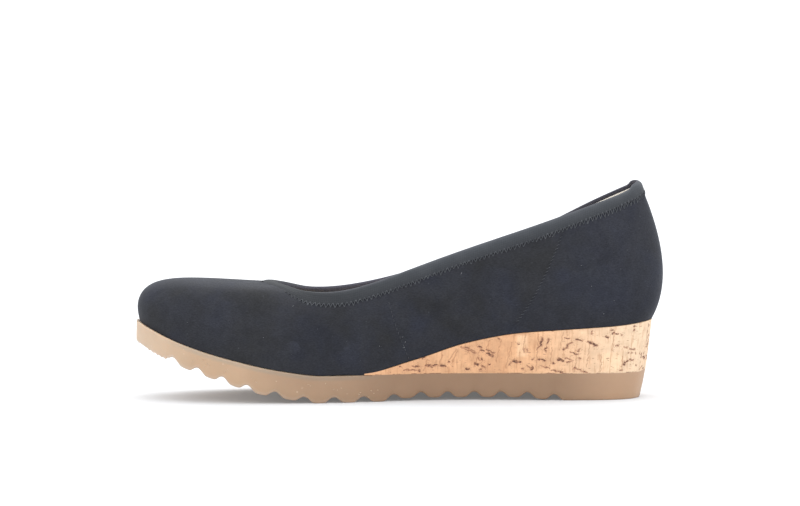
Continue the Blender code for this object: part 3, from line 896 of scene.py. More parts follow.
def seam_stitching(suede):
    """Short stitches along both seams, on both sides of the shoe."""
    stitches = []
    for seam in SEAM_STITCHES:
        heights, alongs = np.array(seam.table).T
        bend = np.polyfit(heights, alongs, SEAM_DEGREE)
        for side in (-1.0, 1.0):
            height = seam.lowest
            while height < seam.highest:
                slope = math.atan(np.polyval(np.polyder(bend), height))
                lean = slope + math.radians(seam.lean)
                half = 0.5 * seam.length * np.array((math.sin(lean), 0.0, math.cos(lean)))
                middle = np.array((np.polyval(bend, height), side * BESIDE, height))
                stitches += side_stitch(suede, middle, half)
                height += seam.pitch * math.cos(slope)
    return threads("seam_stitching", stitches, SEAM_RADIUS)


def bits(name, chart, piece, radius):
    """Short pale bits charted on the medial side of a piece."""
    strands = []
    for bit in chart:
        turn = math.radians(bit.slope)
        half = 0.5 * bit.length * np.array((math.cos(turn), 0.0, math.sin(turn)))
        middle = np.array((bit.x, -BESIDE, bit.z))
        strands += side_stitch(piece, middle, half)
    return threads(name, strands, radius)


def rubber_outsole():
    """Ripple sole with rounded edges and fine ribs under the toe tip."""
    sole = cad_copy("outsole", "rubber_outsole")
    stations = slab_stations(sole)
    base_line = places_of(sole)[stations[:, 0]]
    top_line = places_of(sole)[stations[:, 2]]
    square_up(sole)
    crease(sole, corner_edges(sole), 1.0)
    smooth_out(sole, FINE_LEVELS)
    ends = places_of(sole)[edges_of(sole)]
    under_cork = (ends[:, :, 0] > CORK_TIP).all(axis=1) & (ends[:, :, 2] > SEAT_EDGE).all(axis=1)
    edit(sole, "EDGE", corner_edges(sole) & ~under_cork)
    bpy.ops.mesh.bevel(offset=SOLE_ROUND, segments=3, profile=0.5, clamp_overlap=False)
    leave_edit()
    toe_ribs(sole, base_line)
    places = places_of(sole)
    near_top = soft_step(places[:, 2], CORK_SEAT - HEEL_CORNER_BLEND, CORK_SEAT - SOLE_ROUND)
    places[:, 2] += heel_corner(places) * near_top
    move_vertices(sole, places)
    set_attribute(sole, "from_top", (height_at(top_line, places) - places[:, 2]) / MM)
    set_attribute(sole, "from_base", (places[:, 2] - height_at(base_line, places)) / MM)
    shade(sole, SOLE_SMOOTH_ANGLE)
    return sole


def height_at(line, places):
    """Height of a line that runs along the shoe, at each place."""
    return np.interp(places[:, 0], line[:, 0], line[:, 2])


def heel_corner(places):
    """How far the joint of cork and rubber rises at each place along the shoe."""
    return HEEL_CORNER_RAISE * soft_step(places[:, 0], *HEEL_CORNER)


def toe_ribs(sole, base_line):
    """Fine ribs across the underside of the toe tip, which rises a little at its corner."""
    step = TOE_RIB_PITCH / CUTS_PER_RIB
    for number in range(CUTS_PER_RIB * TOE_RIB_COUNT + 1):
        cut = TOE_RIB_START + step * number
        edit(sole, "FACE", np.ones(len(sole.data.polygons)))
        bpy.ops.mesh.bisect(plane_co=(cut, 0.0, 0.0), plane_no=(1.0, 0.0, 0.0))
        leave_edit()
    places = places_of(sole)
    normals = normals_of(sole)
    phase = (places[:, 0] - TOE_RIB_START) / TOE_RIB_PITCH
    above_base = places[:, 2] - height_at(base_line, places)
    under = soft_step(-normals[:, 2], *UNDERSIDE) * (above_base < TOE_RIB_REACH)
    inside = (phase > 0.0) & (phase < TOE_RIB_COUNT)
    notch = np.where(inside, 0.5 - 0.5 * np.cos(2.0 * math.pi * phase), 0.0)
    places[:, 2] += TOE_RIB_DEPTH * notch * under
    places[:, 2] += TOE_CORNER_RAISE * under * soft_step(-places[:, 0], *TOE_CORNER)
    move_vertices(sole, places)


def outline_of(stations, places):
    """Plan outline of a slab's base: medial side from the tip to the heel, then lateral side back."""
    medial = places[stations[:, 0]]
    lateral = places[stations[::-1, 1]]
    return np.vstack((medial, lateral))[:, :2]


def round_the_wall(places, outline):
    """Distance round an outline of the nearest place on it."""
    lengths = lengths_along(outline)
    best = np.full(len(places), np.inf)
    around = np.zeros(len(places))
    for number in range(len(outline) - 1):
        run = outline[number + 1] - outline[number]
        share = np.clip((places[:, :2] - outline[number]) @ run / (run @ run), 0.0, 1.0)
        distance = np.linalg.norm(places[:, :2] - outline[number] - share[:, None] * run, axis=1)
        nearer = distance < best
        best[nearer] = distance[nearer]
        around[nearer] = lengths[number] + share[nearer] * np.linalg.norm(run)
    return around


def curled(value, other, curl):
    """A value swayed by waves of another one."""
    return value + FLECK_CURL * np.sin(curl.wave * other + curl.sway * np.sin(curl.slow * value))


def fleck_field(chart, around, heights, outline):
    """Signed distance in millimetres to the nearest charted fleck, negative inside it."""
    lengths = lengths_along(outline) / MM
    half = len(outline) // 2
    medial_x = outline[:half, 0] / MM
    field = np.full(len(around), FLECK_FIELD)
    s = curled(around / MM, heights / MM, CURL_ALONG)
    z = curled(heights / MM, around / MM, CURL_UP)
    for fleck in chart:
        medial = np.interp(fleck.x, medial_x, lengths[:half])
        centres = [medial, lengths[-1] - medial - FAR_SHIFT]
        if fleck.x > BACK_FROM:
            centres.append(medial + BACK_SHIFT)
        turn = math.radians(fleck.slope)
        for centre in centres:
            along = (s - centre) * math.cos(turn) + (z - fleck.z) * math.sin(turn)
            aside = (z - fleck.z) * math.cos(turn) - (s - centre) * math.sin(turn)
            beyond = np.maximum(np.abs(along) - 0.5 * (fleck.length - fleck.width), 0.0)
            field = np.minimum(field, np.hypot(beyond, aside) - 0.5 * fleck.width)
    return field


def pale_blocks(places):
    """How far each place on the medial side lies in one of the palest blocks of the veneer."""
    x = places[:, 0] / MM
    z = places[:, 2] / MM
    share = np.zeros(len(places))
    for block in PALE_BLOCKS:
        inside = np.min((x - block.x0, block.x1 - x, z - block.z0, block.z1 - z), axis=0)
        share = np.maximum(share, soft_step(inside, -BLOCK_EDGE, BLOCK_EDGE))
    return np.where(places[:, 1] < 0.0, share, 0.0)


def cut_wall(piece, upright, cuts):
    """Divides a slab's wall by cutting either its upright edges or those along it."""
    wall = np.zeros(len(piece.data.edges), bool)
    for face in piece.data.polygons:
        if abs(face.normal.z) < UPRIGHT:
            wall[[piece.data.loops[loop].edge_index for loop in face.loop_indices]] = True
    ends = places_of(piece)[edges_of(piece)]
    run = ends[:, 1] - ends[:, 0]
    stands = np.abs(run[:, 2]) > STEEP * np.hypot(run[:, 0], run[:, 1])
    edit(piece, "EDGE", wall & (stands if upright else ~stands))
    bpy.ops.mesh.subdivide(number_cuts=cuts)
    leave_edit()


def cork_wedge():
    """Cork wedge, seated on the rubber, with a finely divided wall for its flecks."""
    cork = cad_copy("wedge", "cork_wedge")
    stations = slab_stations(cork)
    places = places_of(cork)
    outline = outline_of(stations, places)
    places[stations[:, :2], 2] = CORK_SEAT
    move_vertices(cork, places)
    square_up(cork)
    crease(cork, corner_edges(cork), 1.0)
    smooth_out(cork, FINE_LEVELS)
    cut_wall(cork, True, CORK_HEIGHT_CUTS)
    cut_wall(cork, False, CORK_LENGTH_CUTS)

    places = places_of(cork)
    around = round_the_wall(places, outline)
    flecks = fleck_field(FLECKS, around, places[:, 2], outline)
    sink = FLECK_SINK * soft_step(-flecks, *FLECK_EDGE)
    set_attribute(cork, "fleck", flecks)
    set_attribute(cork, "vein", fleck_field(VEINS, around, places[:, 2], outline))
    set_attribute(cork, "pale", pale_blocks(places))
    set_attribute(cork, "around", around)
    set_attribute(cork, "from_seat", (places[:, 2] - CORK_SEAT) / MM)
    near_seat = 1.0 - soft_step(places[:, 2], CORK_SEAT, CORK_SEAT + HEEL_CORNER_BLEND)
    places -= normals_of(cork) * sink[:, None]
    places[:, 2] += heel_corner(places) * near_seat
    move_vertices(cork, places)
    shade(cork)
    return cork


def sock():
    """Padded sock inside the upper, a little dished under the foot."""
    pad = cad_copy("insole", "sock")
    square_up(pad)
    crease(pad, corner_edges(pad), 1.0)
    subdivide_surface(pad, FINE_LEVELS)
    places = places_of(pad)
    upper = normals_of(pad)[:, 2] > FACES_UP
    width = np.abs(places[:, 1]) / SOCK_HALF_WIDTH
    places[:, 2] -= np.where(upper, SOCK_DISH * (1.0 - np.clip(width, 0.0, 1.0) ** 2), 0.0)
    move_vertices(pad, places)
    shade(pad)
    return pad


# Finishes.

def node(tree, kind, inputs=None, **settings):
    """Adds a node; settings are its own values, and inputs are numbers, colours or sockets."""
    made = tree.nodes.new(kind)
    for name, value in settings.items():
        setattr(made, name, value)
    for name, value in (inputs or {}).items():
        socket = made.inputs[name]
        if isinstance(value, bpy.types.NodeSocket):
            tree.links.new(value, socket)
        else:
            socket.default_value = value
    return made


def sum_of(tree, operation, a, b=0.0, c=0.0):
    """One Math node."""
    return node(tree, "ShaderNodeMath", {0: a, 1: b, 2: c}, operation=operation).outputs[0]


def between(tree, value, low, high, start=0.0, end=1.0):
    """Smooth step of a value from one range to another."""
    made = node(tree, "ShaderNodeMapRange", {0: value, 1: low, 2: high, 3: start, 4: end},
                interpolation_type="SMOOTHSTEP")
    return made.outputs[0]


def blend_colours(tree, share, first, second, mode="MIX"):
    made = node(tree, "ShaderNodeMix", {0: share, 6: first, 7: second}, data_type="RGBA", blend_type=mode)
    return made.outputs[2]


def scaled(tree, value, factor):
    return sum_of(tree, "MULTIPLY", value, factor)


def toned(tree, colour, tone):
    """A colour made lighter or darker by a factor."""
    grey = node(tree, "ShaderNodeCombineColor", {0: tone, 1: tone, 2: tone}).outputs[0]
    return blend_colours(tree, 1.0, colour, grey, "MULTIPLY")


def noise(tree, at, scale=1.0, detail=2.0, roughness=0.5, distortion=0.0):
    made = node(tree, "ShaderNodeTexNoise", {
        "Vector": at, "Scale": scale, "Detail": detail, "Roughness": roughness, "Distortion": distortion})
    return made.outputs[0]


def stretched(tree, at, scale, turn=0.0):
    """Coordinates turned about Z and then scaled on each axis."""
    inputs = {"Vector": at, "Rotation": (0.0, 0.0, turn), "Scale": scale}
    return node(tree, "ShaderNodeMapping", inputs).outputs[0]


def attribute(tree, name):
    return node(tree, "ShaderNodeAttribute", attribute_name=name).outputs["Fac"]


def object_place(tree):
    return node(tree, "ShaderNodeTexCoord").outputs["Object"]


def parts_of(tree, at):
    """The X, Y and Z of coordinates."""
    return node(tree, "ShaderNodeSeparateXYZ", {0: at}).outputs


def bump(tree, height, distance, strength=1.0, under=None):
    inputs = {"Height": height, "Distance": distance, "Strength": strength}
    if under is not None:
        inputs["Normal"] = under
    return node(tree, "ShaderNodeBump", inputs).outputs[0]


def effect(name, inputs, outputs):
    """An empty node group with named inputs and outputs, and its two end nodes."""
    tree = bpy.data.node_groups.new(name, "ShaderNodeTree")
    for socket, kind, value in inputs:
        made = tree.interface.new_socket(name=socket, in_out="INPUT", socket_type=kind)
        if value is not None:
            made.default_value = value
    for socket, kind in outputs:
        tree.interface.new_socket(name=socket, in_out="OUTPUT", socket_type=kind)
    return tree, tree.nodes.new("NodeGroupInput").outputs, tree.nodes.new("NodeGroupOutput").inputs


def speck_effect():
    """Small specks scattered over a surface."""
    tree, given, result = effect("specks", (
        ("Place", "NodeSocketVector", None), ("Spacing", "NodeSocketFloat", 100.0),
        ("Size", "NodeSocketFloat", 0.05), ("Share", "NodeSocketFloat", 0.5)),
        (("Mask", "NodeSocketFloat"),))
    cells = node(tree, "ShaderNodeTexVoronoi", {"Vector": given["Place"], "Scale": given["Spacing"]})
    pick = node(tree, "ShaderNodeSeparateColor", {0: cells.outputs["Color"]}).outputs
    size = sum_of(tree, "MULTIPLY", given["Size"], sum_of(tree, "ADD", pick["Green"], 0.4))
    dot = sum_of(tree, "LESS_THAN", cells.outputs["Distance"], size)
    chosen = sum_of(tree, "LESS_THAN", pick["Red"], given["Share"])
    tree.links.new(sum_of(tree, "MULTIPLY", dot, chosen), result["Mask"])
    return tree


def grain_effect():
    """Fine uneven grain and broad cloudy tone."""
    tree, given, result = effect("grain", (
        ("Place", "NodeSocketVector", None), ("Fine", "NodeSocketFloat", 2000.0),
        ("Broad", "NodeSocketFloat", 60.0)),
        (("Height", "NodeSocketFloat"), ("Cloud", "NodeSocketFloat")))
    fine = noise(tree, given["Place"], given["Fine"], detail=3.0, roughness=0.6)
    broad = noise(tree, given["Place"], given["Broad"], detail=3.0, roughness=0.55)
    tree.links.new(fine, result["Height"])
    tree.links.new(between(tree, broad, 0.3, 0.7), result["Cloud"])
    return tree


EFFECTS = {"specks": speck_effect(), "grain": grain_effect()}


def use(tree, name, **inputs):
    """Places a shared effect in a material."""
    made = node(tree, "ShaderNodeGroup", node_tree=EFFECTS[name])
    for socket, value in inputs.items():
        if isinstance(value, bpy.types.NodeSocket):
            tree.links.new(value, made.inputs[socket])
        else:
            made.inputs[socket].default_value = value
    return made.outputs


def finish(name, **settings):
    """A new material: its tree and its shader, with the shader's plain values set."""
    material = bpy.data.materials.new(name)
    material.use_nodes = True
    tree = material.node_tree
    shader = tree.nodes["Principled BSDF"]
    for socket, value in settings.items():
        shader.inputs[socket.replace("_", " ")].default_value = value
    return material, tree, shader


def connect(tree, shader, **results):
    """Links results to the shader's sockets."""
    for socket, result in results.items():
        tree.links.new(result, shader.inputs[socket.replace("_", " ")])


def wear(piece, material):
    piece.data.materials.clear()
    piece.data.materials.append(material)


NEUTRAL_NAP = (0.0234, 0.0240, 0.0262, 1.0)
BLUISH_NAP = (0.0244, 0.0266, 0.0365, 1.0)
PALE_NAP = (0.0285, 0.0295, 0.0335, 1.0)
RUBBED_AND_LIT_NAP = (0.0262, 0.0290, 0.0415, 1.0)
SEAM_SHADE = (0.010, 0.011, 0.014, 1.0)
DUST = (0.055, 0.06, 0.07, 1.0)
NAP_STRETCH = (900.0, 900.0, 2400.0)
SEAM_LINE = (0.1, 0.6)


def suede_finish():
    """Napped suede: cloudy tone, rubbed places with painted light and painted shade among them, painted
    shade along its seams, specks of lint.
    """
    material, tree, shader = finish(
        "suede", Roughness=0.95, Specular_IOR_Level=0.12, Sheen_Weight=0.10, Sheen_Roughness=0.4,
        Sheen_Tint=(0.62, 0.66, 0.74, 1.0))
    at = object_place(tree)
    grain = use(tree, "grain", Place=at, Fine=1500.0, Broad=36.0)
    nap = noise(tree, stretched(tree, at, NAP_STRETCH), detail=3.0, roughness=0.65)
    patches = between(tree, noise(tree, at, scale=75.0, distortion=0.4), 0.38, 0.66)
    blotches = between(tree, noise(tree, at, scale=210.0, roughness=0.6), 0.3, 0.7)
    colour = blend_colours(tree, grain["Cloud"], NEUTRAL_NAP, BLUISH_NAP)
    colour = blend_colours(tree, scaled(tree, patches, 0.55), colour, PALE_NAP)
    # Painted light among the rubbed places is mixed towards a pale bluish nap, and painted shade below 0
    # darkens the nap.
    rub_and_painted_light = attribute(tree, "rub_and_painted_light")
    colour = blend_colours(tree, between(tree, rub_and_painted_light, 0.0, 1.0, 0.0, 0.7), colour, RUBBED_AND_LIT_NAP)
    colour = toned(tree, colour, between(tree, rub_and_painted_light, -0.6, 0.0, 0.72, 1.0))
    ball_seam = attribute(tree, "ball_seam")
    heel_seam = attribute(tree, "heel_seam")
    counter = between(tree, heel_seam, -0.3, 0.3)
    colour = blend_colours(tree, scaled(tree, counter, 0.25), colour, RUBBED_AND_LIT_NAP)
    shade_of_nap = scaled(tree, between(tree, nap, 0.25, 0.75, 0.80, 1.20),
                          between(tree, blotches, 0.0, 1.0, 0.95, 1.05))
    colour = toned(tree, colour, shade_of_nap)
    ball_line = between(tree, sum_of(tree, "ABSOLUTE", ball_seam), *SEAM_LINE, 0.10, 0.0)
    heel_line = between(tree, sum_of(tree, "ABSOLUTE", heel_seam), *SEAM_LINE, 0.20, 0.0)
    line = sum_of(tree, "MAXIMUM", ball_line, heel_line)
    colour = blend_colours(tree, line, colour, SEAM_SHADE)
    dust = use(tree, "specks", Place=at, Spacing=300.0, Size=0.085, Share=0.3)["Mask"]
    colour = blend_colours(tree, scaled(tree, dust, 0.5), colour, DUST)
    coarse = bump(tree, grain["Height"], distance=0.12 * MM, strength=0.6)
    relief = bump(tree, nap, distance=0.10 * MM, strength=0.7, under=coarse)
    connect(tree, shader, Base_Color=colour, Normal=relief)
    return material


ELASTIC_DARK = (0.0436, 0.0480, 0.0553, 1.0)
ELASTIC_LIGHT = (0.0515, 0.0560, 0.0635, 1.0)
BAND_INSIDE = (0.062, 0.061, 0.080, 1.0)
# Painted shade deep inside the band's inner face.
BAND_INSIDE_SHADE = (0.036, 0.036, 0.043, 1.0)
RIBS_ACROSS = 0.95 * MM
RIBS_ALONG = 0.8 * MM
INSIDE_FROM = (0.88 * BAND_TOP, BAND_TOP)
INSIDE_SHADE_FROM = (BAND_TOP, 1.6 * BAND_TOP)
# Places along the shoe over which the band's painted light rises from the throat to the sides.
BAND_PAINTED_LIGHT_ENDS = (-0.070, 0.030)
# Places along the shoe over which painted shade inside the band deepens towards the heel.
INSIDE_SHADE_ENDS = (0.050, 0.095)


def ribs(tree, place, pitch):
    """Fine ribs as a wave between -1 and 1."""
    return sum_of(tree, "SINE", scaled(tree, place, 2.0 * math.pi / pitch))


def elastic_finish():
    """Woven elastic: fine ribs both ways, with painted light towards its top edge on the shoe's sides,
    and painted shade at the throat's front and deep inside.
    """
    material, tree, shader = finish(
        "elastic", Roughness=0.85, Specular_IOR_Level=0.2, Sheen_Weight=0.06, Sheen_Roughness=0.5,
        Sheen_Tint=(0.7, 0.75, 0.8, 1.0))
    wall = parts_of(tree, node(tree, "ShaderNodeUVMap", uv_map="wall").outputs[0])
    weave = sum_of(tree, "ADD", scaled(tree, ribs(tree, wall["X"], RIBS_ACROSS), 0.6),
                   scaled(tree, ribs(tree, wall["Y"], RIBS_ALONG), 0.4))
    at = object_place(tree)
    along_shoe = parts_of(tree, at)["X"]
    grain = use(tree, "grain", Place=at, Fine=1800.0, Broad=140.0)
    colour = blend_colours(tree, grain["Cloud"], ELASTIC_DARK, ELASTIC_LIGHT)
    # Painted shade at the front of the throat, and painted light rising towards the band's top edge on
    # the shoe's sides.
    at_throat = between(tree, wall["Y"], 0.0, BAND_HEIGHT, 0.44, 0.36)
    lit_at_side = between(tree, wall["Y"], 0.0, BAND_HEIGHT, 0.74, 1.30)
    gained = sum_of(tree, "SUBTRACT", lit_at_side, at_throat)
    rise = sum_of(tree, "MULTIPLY_ADD", gained, between(tree, along_shoe, *BAND_PAINTED_LIGHT_ENDS), at_throat)
    colour = toned(tree, colour, rise)
    # Painted shade, deeper inside the band's inner face and towards the heel.
    hollow = blend_colours(tree, between(tree, wall["Y"], *INSIDE_SHADE_FROM), BAND_INSIDE, BAND_INSIDE_SHADE)
    hollow = toned(tree, hollow, between(tree, along_shoe, *INSIDE_SHADE_ENDS, 1.0, 0.68))
    colour = blend_colours(tree, between(tree, wall["Y"], *INSIDE_FROM), colour, hollow)
    colour = toned(tree, colour, between(tree, weave, -1.0, 1.0, 0.92, 1.08))
    fine = bump(tree, grain["Height"], distance=0.08 * MM, strength=0.5)
    relief = bump(tree, weave, distance=0.05 * MM, strength=0.6, under=fine)
    connect(tree, shader, Base_Color=colour, Normal=relief)
    return material


# Threads and other small pieces, and the leathers, each with a dark and a light shade.
Shades = namedtuple("Shades", ("dark", "light"))
ZIGZAG_SHADES = Shades((0.043, 0.046, 0.053, 1.0), (0.070, 0.074, 0.083, 1.0))
# Needle holes are dark beads of painted shade.
HOLE_SHADE_TONES = Shades((0.012, 0.013, 0.015, 1.0), (0.020, 0.021, 0.024, 1.0))
SEAM_SHADES = Shades((0.042, 0.045, 0.052, 1.0), (0.068, 0.072, 0.082, 1.0))
LINT_SHADES = Shades((0.08, 0.085, 0.095, 1.0), (0.16, 0.165, 0.175, 1.0))
CRUMB_SHADES = Shades((0.43, 0.31, 0.21, 1.0), (0.54, 0.42, 0.31, 1.0))
LINING_SHADES = Shades((0.77, 0.73, 0.66, 1.0), (0.84, 0.81, 0.75, 1.0))
SOCK_SHADES = Shades((0.72, 0.67, 0.58, 1.0), (0.80, 0.70, 0.56, 1.0))
THROAT_FRONT = (-0.058, -0.044)
ZIGZAG_AT_THROAT = 0.5


def thread_finish(name, shades, at_throat=1.0):
    """Twisted sewing thread of uneven tone, with its tone at the front of the throat."""
    material, tree, shader = finish(name, Roughness=0.8, Specular_IOR_Level=0.2)
    at = object_place(tree)
    grain = use(tree, "grain", Place=at, Fine=3500.0, Broad=400.0)
    colour = blend_colours(tree, grain["Cloud"], *shades)
    colour = toned(tree, colour, between(tree, parts_of(tree, at)["X"], *THROAT_FRONT, at_throat, 1.0))
    relief = bump(tree, grain["Height"], distance=0.05 * MM, strength=0.6)
    connect(tree, shader, Base_Color=colour, Normal=relief)
    return material


def lining_finish(name, shades):
    """Smooth pale leather with faint pores."""
    material, tree, shader = finish(name, Roughness=0.6, Specular_IOR_Level=0.35)
    grain = use(tree, "grain", Place=object_place(tree), Fine=1300.0, Broad=70.0)
    colour = blend_colours(tree, grain["Cloud"], *shades)
    relief = bump(tree, grain["Height"], distance=0.08 * MM, strength=0.4)
    connect(tree, shader, Base_Color=colour, Normal=relief)
    return material


# The rubber's tone at places along the shoe, partly painted light at the toe and heel and painted shade
# in the waist; the tints of its edges, a painted highlight on the lip and painted light on the lower rim;
# and where those fade out.
Tone = namedtuple("Tone", ("along", "colour"))
RUBBER_TONES_AND_LIGHT = (
    Tone(-0.125, (0.480, 0.355, 0.250, 1.0)),
    Tone(-0.090, (0.446, 0.303, 0.196, 1.0)),
    Tone(-0.040, (0.336, 0.219, 0.139, 1.0)),
    Tone(0.012, (0.263, 0.164, 0.102, 1.0)),
    Tone(0.075, (0.268, 0.169, 0.105, 1.0)),
    Tone(0.110, (0.405, 0.261, 0.166, 1.0)),
)
LIP_HIGHLIGHT_TINT = (0.85, 0.95, 1.05, 1.0)
RIM_LIGHT_TINT = (1.10, 1.20, 1.36, 1.0)
RUBBER_FLECK = (0.60, 0.47, 0.36, 1.0)
FOREFOOT_ENDS = (-0.030, 0.0)
TOE_ENDS = (-0.118, -0.098)


def rubber_finish():
    """Tan rubber with small light flecks, its tone along the shoe partly painted light and shade, a
    painted greyish highlight on its lip and painted light on its pale lower rim.
    """
    material, tree, shader = finish(
        "crepe_rubber", Specular_IOR_Level=0.35, Subsurface_Weight=0.2,
        Subsurface_Radius=(1.0, 0.55, 0.35), Subsurface_Scale=2.0 * MM)
    at = object_place(tree)
    along = parts_of(tree, at)["X"]
    grain = use(tree, "grain", Place=at, Fine=900.0, Broad=55.0)
    # Painted light and shade along the shoe: paler at the toe and heel, darker in the waist.
    colour = RUBBER_TONES_AND_LIGHT[0].colour
    for last, tone in zip(RUBBER_TONES_AND_LIGHT, RUBBER_TONES_AND_LIGHT[1:]):
        colour = blend_colours(tree, between(tree, along, last.along, tone.along), colour, tone.colour)
    colour = toned(tree, colour, between(tree, grain["Cloud"], 0.0, 1.0, 0.97, 1.03))
    forefoot = between(tree, along, *FOREFOOT_ENDS, 1.0, 0.0)
    # Painted greyish highlight along the lip of the forefoot.
    lip = between(tree, attribute(tree, "from_top"), 1.2, 3.0, 1.0, 0.0)
    lip = scaled(tree, lip, scaled(tree, forefoot, between(tree, along, *TOE_ENDS)))
    colour = blend_colours(tree, lip, colour, LIP_HIGHLIGHT_TINT, "MULTIPLY")
    # Painted light, paler and bluer, along the lower rim of the forefoot.
    rim = scaled(tree, between(tree, attribute(tree, "from_base"), 0.3, 2.2, 0.8, 0.0), forefoot)
    colour = blend_colours(tree, rim, colour, RIM_LIGHT_TINT, "MULTIPLY")
    flecks = use(tree, "specks", Place=at, Spacing=420.0, Size=0.2, Share=0.16)["Mask"]
    clusters = between(tree, noise(tree, at, scale=60.0, detail=1.0), 0.48, 0.62)
    shown = scaled(tree, scaled(tree, flecks, clusters), scaled(tree, forefoot, 0.5))
    colour = blend_colours(tree, shown, colour, RUBBER_FLECK)
    roughness = between(tree, grain["Height"], 0.2, 0.8, 0.42, 0.58)
    relief = bump(tree, grain["Height"], distance=0.08 * MM, strength=0.35)
    connect(tree, shader, Base_Color=colour, Roughness=roughness, Normal=relief)
    return material


# The cork's colours, with painted light that pales it towards the heel and painted shade along its joint
# with the rubber, the blocks of its veneer, and how its marks are stretched and lean.
CORK_DARK = (0.585, 0.326, 0.181, 1.0)
CORK_LIGHT = (0.68, 0.402, 0.230, 1.0)
CORK_LIT_AT_HEEL = (0.71, 0.535, 0.375, 1.0)
CORK_PALEST = (0.80, 0.57, 0.37, 1.0)
CORK_LINE = (0.42, 0.20, 0.10, 1.0)
CORK_DASH = (0.22, 0.10, 0.065, 1.0)
CORK_GRIT = (0.17, 0.080, 0.055, 1.0)
CORK_HAIRLINE = (0.32, 0.145, 0.075, 1.0)
CORK_JOINT_SHADE = (0.13, 0.06, 0.045, 1.0)
FLECK_RIM = (0.36, 0.165, 0.095, 1.0)
FLECK_CORE = (0.090, 0.042, 0.032, 1.0)
HEEL_LIGHT_ENDS = (0.055, 0.122)
BLOCK_LENGTH = 13.0 * MM
BLOCK_HEIGHT = 9.0 * MM
BLOCK_STAGGER = 0.37
BLOCK_LEAN = math.radians(-10.0)
LINE_STRETCH = (950.0, 110.0, 1.0)
LINE_LEAN = math.radians(-14.0)
DASH_STRETCH = (420.0, 1300.0, 1.0)
GRIT_STRETCH = (1500.0, 2100.0, 1.0)
GRIT_LEAN = 0.5
TICK_STRETCH = (800.0, 1900.0, 1.0)
TICK_LEAN = math.radians(28.0)
NO_STRETCH = (1.0, 1.0, 1.0)
BLACK = (0.0, 0.0, 0.0, 1.0)
WHITE = (1.0, 1.0, 1.0, 1.0)


def veneer_blocks(tree, flat):
    """A share from 0 to 1 for each block of the veneer."""
    leaning = stretched(tree, flat, NO_STRETCH, BLOCK_LEAN)
    return node(tree, "ShaderNodeTexBrick", {
        "Vector": leaning, "Color1": BLACK, "Color2": WHITE, "Scale": 1.0, "Mortar Size": 0.0,
        "Brick Width": BLOCK_LENGTH, "Row Height": BLOCK_HEIGHT}, offset=BLOCK_STAGGER).outputs[0]


def cork_finish():
    """Cork veneer: blocks of slightly different tone, fine grain lines, hairlines and dark flecks, with
    painted light towards the heel and painted shade at its joint with the rubber.
    """
    material, tree, shader = finish("cork", Roughness=0.75, Specular_IOR_Level=0.25)
    at = object_place(tree)
    place = parts_of(tree, at)
    flat = node(tree, "ShaderNodeCombineXYZ", {0: attribute(tree, "around"), 1: place["Z"]}).outputs[0]
    colour = blend_colours(tree, veneer_blocks(tree, flat), CORK_DARK, CORK_LIGHT)
    # Painted light, paler towards the heel.
    colour = blend_colours(tree, between(tree, place["X"], *HEEL_LIGHT_ENDS), colour, CORK_LIT_AT_HEEL)
    colour = blend_colours(tree, scaled(tree, attribute(tree, "pale"), 0.5), colour, CORK_PALEST)
    cloud = noise(tree, flat, scale=190.0, detail=3.0, roughness=0.6)
    colour = toned(tree, colour, between(tree, cloud, 0.25, 0.75, 0.9, 1.1))

    lines = noise(tree, stretched(tree, flat, LINE_STRETCH, LINE_LEAN), detail=3.0, roughness=0.6)
    colour = blend_colours(tree, between(tree, lines, 0.50, 0.72, 0.0, 0.60), colour, CORK_LINE)
    dashes = noise(tree, stretched(tree, flat, DASH_STRETCH), roughness=0.6)
    colour = blend_colours(tree, between(tree, dashes, 0.62, 0.72, 0.0, 0.65), colour, CORK_DASH)
    fleck = attribute(tree, "fleck")
    grit = noise(tree, stretched(tree, flat, GRIT_STRETCH, GRIT_LEAN), roughness=0.6)
    grit = scaled(tree, between(tree, grit, 0.57, 0.66), between(tree, fleck, 0.2, 2.0, 0.7, 0.0))
    colour = blend_colours(tree, grit, colour, CORK_GRIT)

    wobble = noise(tree, flat, scale=1400.0, detail=3.0, roughness=0.75)
    wobble = sum_of(tree, "SUBTRACT", wobble, 0.5)
    vein = sum_of(tree, "MULTIPLY_ADD", wobble, 0.5, attribute(tree, "vein"))
    colour = blend_colours(tree, between(tree, vein, 0.0, 0.35, 0.55, 0.0), colour, CORK_HAIRLINE)
    field = sum_of(tree, "MULTIPLY_ADD", wobble, 1.1, fleck)
    ticks = noise(tree, stretched(tree, flat, TICK_STRETCH, TICK_LEAN), roughness=0.6)
    broken = between(tree, ticks, 0.42, 0.56, 0.2, 1.0)
    core = scaled(tree, between(tree, field, -0.14, 0.16, 1.0, 0.0), broken)
    colour = blend_colours(tree, between(tree, field, -0.05, 0.5, 0.6, 0.0), colour, FLECK_RIM)
    colour = blend_colours(tree, core, colour, FLECK_CORE)
    # Painted shade along the cork's joint with the rubber.
    joint = scaled(tree, between(tree, attribute(tree, "from_seat"), 0.15, 0.5, 0.8, 0.0),
                   between(tree, cloud, 0.46, 0.60))
    colour = blend_colours(tree, joint, colour, CORK_JOINT_SHADE)

    rough = noise(tree, at, scale=1400.0, detail=3.0, roughness=0.6)
    rough = bump(tree, rough, distance=0.08 * MM, strength=0.4)
    marks = sum_of(tree, "SUBTRACT", lines, core)
    relief = bump(tree, marks, distance=0.08 * MM, strength=0.5, under=rough)
    connect(tree, shader, Base_Color=colour, Normal=relief)
    return material


# Stage.

FLOOR_SIZE = 120.0
FLOOR_TONE = (0.54, 0.55, 0.565, 1.0)
FLOOR_GLOW = 0.13
WORLD_STRENGTH = 1.2

Light = namedtuple("Light", ("name", "azimuth", "elevation", "spread", "strength"))
LIGHTS = (
    Light("top", 180.0, 60.0, 80.0, 2.3),
    Light("left", -50.0, 18.0, 140.0, 1.05),
    Light("right", 55.0, 22.0, 140.0, 1.1),
)


